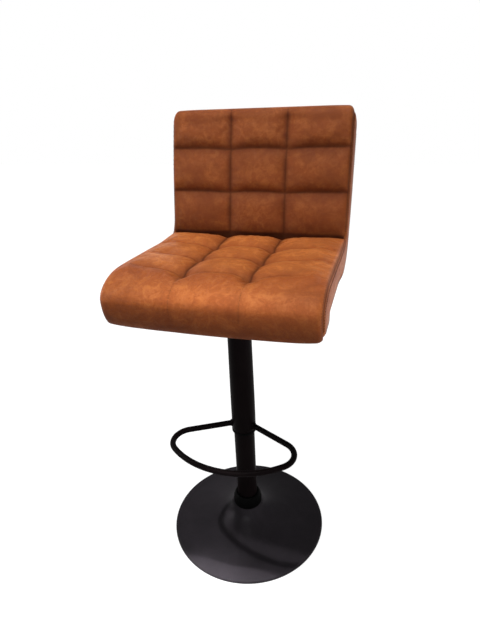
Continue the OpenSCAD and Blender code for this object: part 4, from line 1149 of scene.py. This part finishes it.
class STOOL_OT_side_panels(bpy.types.Operator):
    """Padded side panels, from the seat's nose round the crease to the back's rolled top"""

    bl_idname = "stool.side_panels"
    bl_label = "Side panels"

    def execute(self, context):
        pad_h, gather_h, gather_l, dip_h = 0.0016, 0.0011, 0.0105, 0.0012
        upper, lower = side_outline()
        rows = len(upper)
        # places down the panel, closer together at its seams
        shares = np.array([0, 0.015, 0.04, 0.08, 0.14, 0.22, 0.32, 0.43, 0.54, 0.65, 0.76, 0.86, 0.93, 0.97,
                           0.99, 1.0])
        cols = len(shares)
        reach = np.linalg.norm(upper - lower, axis=1)[:, None]
        walk = path_lengths(upper)[:, None]
        T = np.broadcast_to(shares, (rows, cols))
        deep = reach * T
        rest = reach - deep
        y = upper[:, 0:1]
        small = smooth_step(reach, 0.0, 0.045)
        slope = SIDE_OUT * small * np.sin(np.minimum(T / 0.62, 1) * np.pi / 2)
        bottom = SIDE_IN * smooth_step(SEAT_REAR_Y - y, -0.045, 0.03) * smooth_step(T, 0.20, 1.0)
        bottom *= 1 - 0.5 * smooth_step(-y, 0.05, 0.15)
        puffed = pad_h * small * np.minimum(1, deep / 0.008) ** 0.5 * np.minimum(1, rest / 0.008) ** 0.5
        # gathers at the seam die out down the panel
        phase = walk / gather_l * 2 * math.pi + 1.7 * np.sin(walk / 0.043)
        much = 0.35 + 0.65 * smooth_step(walk, walk[-1] - 0.18, walk[-1] - 0.09)
        gather = gather_h * much * np.sin(phase) * trail(deep - 0.003, 0.006)
        ends = np.minimum(np.arange(rows), np.arange(rows)[::-1])[:, None]
        x = HALF_Q - 0.0002 + slope - bottom + puffed + gather - dip_h * trail(ends, 2.2)
        plane = upper[:, None] * (1 - T[..., None]) + lower[:, None] * T[..., None]
        middle = (upper + lower)[:, None] / 2
        # painted shade along the seams and on one side of each gather
        crease = 0.9 * trail(deep, 0.0019, 1.3) + trail(rest, 0.0022, 1.4)
        crease += 0.7 * much * np.clip(-np.sin(phase), 0, 1) * trail(deep - 0.002, 0.007)
        for name, sign in (("right", -1), ("left", 1)):
            outer = spread(sign * x, plane)
            inner = spread(np.full((rows, cols), sign * (HALF_Q - 0.0035)), middle + (plane - middle) * 0.93)
            obj = cushion(f"side_panel_{name}", outer, inner, flip=sign > 0)
            # the panel's middle is a little paler: partly wear, partly painted highlight
            paint_shade_sheen_and_wear(obj, np.minimum(crease, 1), 0.24 * np.sin(np.pi * T))
            out = grid_normals(outer)
            out *= sign * np.sign(out[rows // 2, cols // 2, 0])
            runs = [stitch_run(outer, out, shares, shares[3], slice(4, -12), 0.0002),
                    stitch_run(outer, out, shares, shares[-4], slice(8, -16), 0.0002)]
            stitches(f"side_stitches_{name}", runs)
        return {"FINISHED"}


class STOOL_OT_rear_panel(bpy.types.Operator):
    """Padded leather panel under the seat and behind the back"""

    bl_idname = "stool.rear_panel"
    bl_label = "Rear panel"

    def execute(self, context):
        half = HALF_W - 0.0028
        pad_h, corner_h, corner_r, sewn_in = 0.0030, 0.0012, 0.026, 0.0075
        x = add_rows([-half, half], 0.009)
        flat_n, bend_n, back_n = 40, 24, 34
        rows = flat_n + bend_n + back_n - 2
        row = np.arange(rows)
        # the panel is narrower under the seat than behind the back
        wide = 0.2004 + 0.0076 * smooth_step(row, 42, 74)
        climb = smooth_step(row, flat_n - 4, flat_n + 10) * (1 - smooth_step(row, rows - 7, rows - 1) ** 2)

        def panel_line(d, s_top, front_y):
            flat = np.stack([np.linspace(front_y, BEND_Y, flat_n), np.full(flat_n, PLY_MID_Z + d)], 1)
            bend = bend_pt(np.linspace(0, BEND_END, bend_n)[1:], d)
            return np.concatenate([flat, bend, back_pt(np.linspace(0, s_top, back_n)[1:], PLY_DEPTH - d)])

        face, lining = [], []
        for across in x:
            s_top = BACK_LEN - 0.0055 - rounding(across, corner_r, half)
            line = panel_line(0.0004 - PLY_T / 2 - COVER_T, s_top, -0.1588)
            # padded behind the back, and flat over the seat plate
            padding = pad_h * (1 - abs(across / half) ** 8) * climb - corner_h * abs(across / half) ** 24
            face.append(line + line_normals(line) * padding[:, None])
            lining.append(panel_line(-OVER_PLY, s_top - 0.001, -0.1582))
        X = np.broadcast_to(x, (rows, len(x)))
        outer, inner = (spread(X * wide[:, None] / half, np.stack(lines, 1)) for lines in (face, lining))
        obj = cushion("rear_panel", outer, inner)
        # painted shade along the side edges; the middle is paler, partly wear and partly painted highlight
        paint_shade_sheen_and_wear(obj, trail(half - np.abs(X), 0.003, 1.4), 0.25 * (1 - (X / half) ** 2))
        normals = -grid_normals(outer)
        stitches("rear_stitches", [
            stitch_run(outer, normals, x, sign * (half - sewn_in), slice(2, -4), 0.0003) for sign in (-1, 1)])
        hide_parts("rear_cover")
        return {"FINISHED"}


class STOOL_OT_seam_stitches(bpy.types.Operator):
    """Stitches along the quilted seams and beside the side seams"""

    bl_idname = "stool.seam_stitches"
    bl_label = "Seam stitches"

    def execute(self, context):
        for quilt in covers.values():
            quilt.sew()
        return {"FINISHED"}


class STOOL_OT_base_skin(bpy.types.Operator):
    """Spun trumpet base with a smooth flare and a rolled rim"""

    bl_idname = "stool.base_skin"
    bl_label = "Trumpet base"

    def execute(self, context):
        rim_h, plate, neck_h, neck_r, wall, edge = 0.008, 0.010, 0.0725, 0.0345, 0.0015, 0.003
        outer_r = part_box("base_shell")[1][0]
        line = [[outer_r - 0.0009, 0.0021], [outer_r - 0.0002, 0.0024], [outer_r, 0.0032]]
        line += [[outer_r - edge * (1 - math.cos(a)), rim_h - edge * (1 - math.sin(a))]
                 for a in np.radians(np.linspace(0, 84, 8))]
        t = np.sin(np.radians(np.linspace(1.5, 90, 60)))
        climb = 1 - np.sqrt(np.maximum(1 - t * t, 0))
        flare = np.stack([outer_r - edge + (neck_r - outer_r + edge) * t,
                          rim_h + plate * t + (neck_h - rim_h - plate) * climb], 1)
        line = np.concatenate([line, flare])
        profile = np.concatenate([line, (line + wall * line_normals(line))[::-1]])
        obj = lathe("base_skin", profile, 144, base_coat(), "base")
        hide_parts("base_shell")
        return {"FINISHED"}


class STOOL_OT_collar_skin(bpy.types.Operator):
    """Small dome collar where the column leaves the base, as low and narrow as in the photo"""

    bl_idname = "stool.collar_skin"
    bl_label = "Dome collar"

    def execute(self, context):
        low, skirt, top, lip, bore, wall = 0.0712, 0.0790, 0.1020, 0.0364, 0.0254, 0.0020
        land = bore + 0.003
        turn = np.radians(np.linspace(0, 88, 24))
        dome = np.stack([land + (lip - land) * np.cos(turn), skirt + (top - skirt) * np.sin(turn)], 1)
        inside = np.stack([np.maximum(dome[:, 0] - wall, bore + 0.0002), dome[:, 1] - wall], 1)[::-1]
        line = [[lip - 0.0008, low], [lip - 0.0002, low + 0.0003], [lip, low + 0.0010], *dome,
                [bore + 0.0006, top], [bore, top - 0.0006], [bore, top - wall], *inside, [lip - wall, low]]
        obj = lathe("collar_skin", line, 96, black_plastic(), "base")
        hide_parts("dome_collar")
        return {"FINISHED"}


class STOOL_OT_sleeve_skin(bpy.types.Operator):
    """Sleeve tube with rolled ends, a little narrower toward its top as in the photo"""

    bl_idname = "stool.sleeve_skin"
    bl_label = "Sleeve"

    def execute(self, context):
        low, high = (corner[2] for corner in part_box("sleeve_tube"))
        wall, edge, bore = 0.0010, 0.0005, 0.0254
        outer_low, outer_high = 0.0287, 0.0268
        z = np.array([*np.linspace(low + edge, low + 0.045, 6), *np.linspace(low + 0.06, high - edge, 26)])
        r = outer_low + (outer_high - outer_low) * smooth_step(z, low + 0.04, high)
        line = [[r[0] - edge, low], [r[0] - edge * 0.3, low + edge * 0.3], *zip(r, z),
                [r[-1] - edge * 0.3, high - edge * 0.3], [r[-1] - edge, high],
                *zip(np.maximum(r - wall, bore)[::-1], z[::-1])]
        obj = lathe("sleeve_skin", line, 96, powder(), "carriage")
        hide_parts("sleeve_tube")
        return {"FINISHED"}


class STOOL_OT_guide(bpy.types.Operator):
    """Guide bushing whose head runs free in the sleeve's narrow end"""

    bl_idname = "stool.guide"
    bl_label = "Guide bushing"

    def execute(self, context):
        low, high = (corner[2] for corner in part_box("guide_bushing"))
        tube_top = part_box("column_tube")[1][2]
        bore, body, head, edge = 0.01406, 0.02294, 0.0256, 0.0005
        line = [[bore, low], [body - edge, low], [body, low + edge], [body, tube_top], [head, tube_top],
                [head, high - edge], [head - edge, high], [bore + edge, high], [bore, high - edge]]
        obj = lathe("guide_skin", line, 96, nylon(), "base")
        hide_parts("guide_bushing")
        return {"FINISHED"}


class STOOL_OT_footrest(bpy.types.Operator):
    """Bent footrest bar with its two weld beads on the sleeve"""

    bl_idname = "stool.footrest"
    bl_label = "Footrest"

    def execute(self, context):
        bar_r, bow_r, corner_r, reach, half_w, arm_back = 0.0067, 0.195, 0.0435, 0.176, 0.1415, 0.004
        low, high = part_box("footrest_ring")
        bar_z = (low[2] + high[2]) / 2
        # one half of the bar: a straight arm from the sleeve, a corner and half the bow
        bow_y = bow_r - reach
        corner_x = half_w - corner_r
        corner_y = bow_y - math.sqrt((bow_r - corner_r) ** 2 - corner_x ** 2)
        span = math.hypot(corner_x, corner_y - arm_back)
        arm = math.atan2(corner_y - arm_back, corner_x) + math.asin(corner_r / span)
        arm_l = math.sqrt(span ** 2 - corner_r ** 2)
        bow_start = math.atan2(corner_y - bow_y, corner_x)
        weld = 0.0278
        along = np.array([*np.linspace(weld, weld + 0.010, 14),
                          *np.linspace(weld + 0.013, arm_l - 0.002, 14)])
        half = [(l * math.cos(arm), arm_back + l * math.sin(arm)) for l in along]
        half += [(corner_x + corner_r * math.cos(a), corner_y + corner_r * math.sin(a))
                 for a in np.linspace(math.pi / 2 + arm, bow_start, 30)]
        half += [(bow_r * math.cos(a), bow_y + bow_r * math.sin(a))
                 for a in np.linspace(bow_start, -math.pi / 2, 34)[1:]]
        half = np.array(half)
        path = np.concatenate([half, (half * [-1, 1])[-2::-1]])
        bead = 0.0021 * trail(along - weld - 0.0022, 0.0030)
        radii = np.full(len(path), bar_r)
        radii[:len(along)] += bead
        radii[-len(along):] += bead[::-1]
        ahead = np.gradient(path, axis=0)
        ahead /= np.linalg.norm(ahead, axis=1, keepdims=True)
        sides = 28
        points = []
        for i, ((x, y), (tx, ty), r) in enumerate(zip(path, ahead, radii)):
            for w in around(sides):
                # ripples of the weld bead
                k = r + (r - bar_r) * 0.22 * math.sin(11 * w + i * 0.9)
                out = k * math.cos(w)
                points.append((x + ty * out, y - tx * out, bar_z + k * math.sin(w)))
        obj = mesh_object("footrest_bar", points, tube_faces(len(path), sides), powder(), "carriage")
        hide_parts("footrest_ring")
        return {"FINISHED"}


class STOOL_OT_finish_metal(bpy.types.Operator):
    """Powder coat, plastic, rubber, steel, wood and cloth of the carried-over nodes"""

    bl_idname = "stool.finish_metal"
    bl_label = "Metal and hidden pieces"

    def execute(self, context):
        dress(["column_tube", "sleeve_tube", "footrest_ring", "taper_hub", "lever_housing", "seat_plate",
               "gas_cylinder", "foot_flange", "lever_tongue", "lever_rod"], powder())
        dress(["base_shell"], base_coat())
        dress(["dome_collar", "sleeve_bushing", "lever_grip"], black_plastic())
        dress(["floor_ring", "rod_gland"], rubber())
        dress(["ballast_disc"], cast_iron())
        dress(["bearing_lower_race", "bearing_balls", "bearing_upper_race", "piston_rod", "rod_clip"],
              metal("Ground steel", (0.45, 0.45, 0.47), (0.62, 0.62, 0.64), 0.18))
        dress(["bearing_cage"], metal("Stamped brass", (0.55, 0.36, 0.13), (0.75, 0.55, 0.24), 0.3))
        dress(["piston_head"], metal("Turned aluminium", (0.5, 0.5, 0.52), (0.7, 0.7, 0.72), 0.3))
        dress(["flange_bolts", "flange_nuts", "rod_washer", "lever_pin", "plate_bolts", "plate_washers",
               "t_nuts", "valve_button"],
              metal("Zinc-plated steel", (0.40, 0.41, 0.43), (0.62, 0.62, 0.6), 0.32))
        dress(["plywood_shell"], plywood())
        dress(["dust_cover"], dust_cloth())
        dress(["rear_cover", "seat_cushion", "back_cushion"], leather())
        return {"FINISHED"}


class STOOL_PT_panel(bpy.types.Panel):
    """Lists the stool's pieces and looks"""

    bl_label = "Bar stool"
    bl_idname = "STOOL_PT_panel"
    bl_space_type = "VIEW_3D"
    bl_region_type = "UI"
    bl_category = "Bar stool"

    def draw(self, context):
        for group_name in ("stool_leather", "stool_metal", "stool_stage"):
            values = getattr(context.scene, group_name)
            for key in values.__annotations__:
                self.layout.prop(values, key)
        for step in STEPS:
            self.layout.operator(step.bl_idname)


STEPS = [STOOL_OT_stage, STOOL_OT_seat_cover, STOOL_OT_back_cover, STOOL_OT_side_panels, STOOL_OT_rear_panel,
         STOOL_OT_seam_stitches, STOOL_OT_base_skin, STOOL_OT_collar_skin, STOOL_OT_sleeve_skin,
         STOOL_OT_guide, STOOL_OT_footrest, STOOL_OT_finish_metal]
GROUPS = {"stool_leather": LeatherLook, "stool_metal": MetalLook, "stool_stage": StageLook}
CLASSES = [*GROUPS.values(), *STEPS, STOOL_PT_panel]


def register():
    for c in CLASSES:
        bpy.utils.register_class(c)
    for name, kind in GROUPS.items():
        setattr(bpy.types.Scene, name, bpy.props.PointerProperty(type=kind))


def unregister():
    for name in GROUPS:
        delattr(bpy.types.Scene, name)
    for c in reversed(CLASSES):
        bpy.utils.unregister_class(c)


def main():
    register()
    for step in STEPS:
        area, name = step.bl_idname.split(".")
        getattr(getattr(bpy.ops, area), name)()


if __name__ == "__main__":
    main()
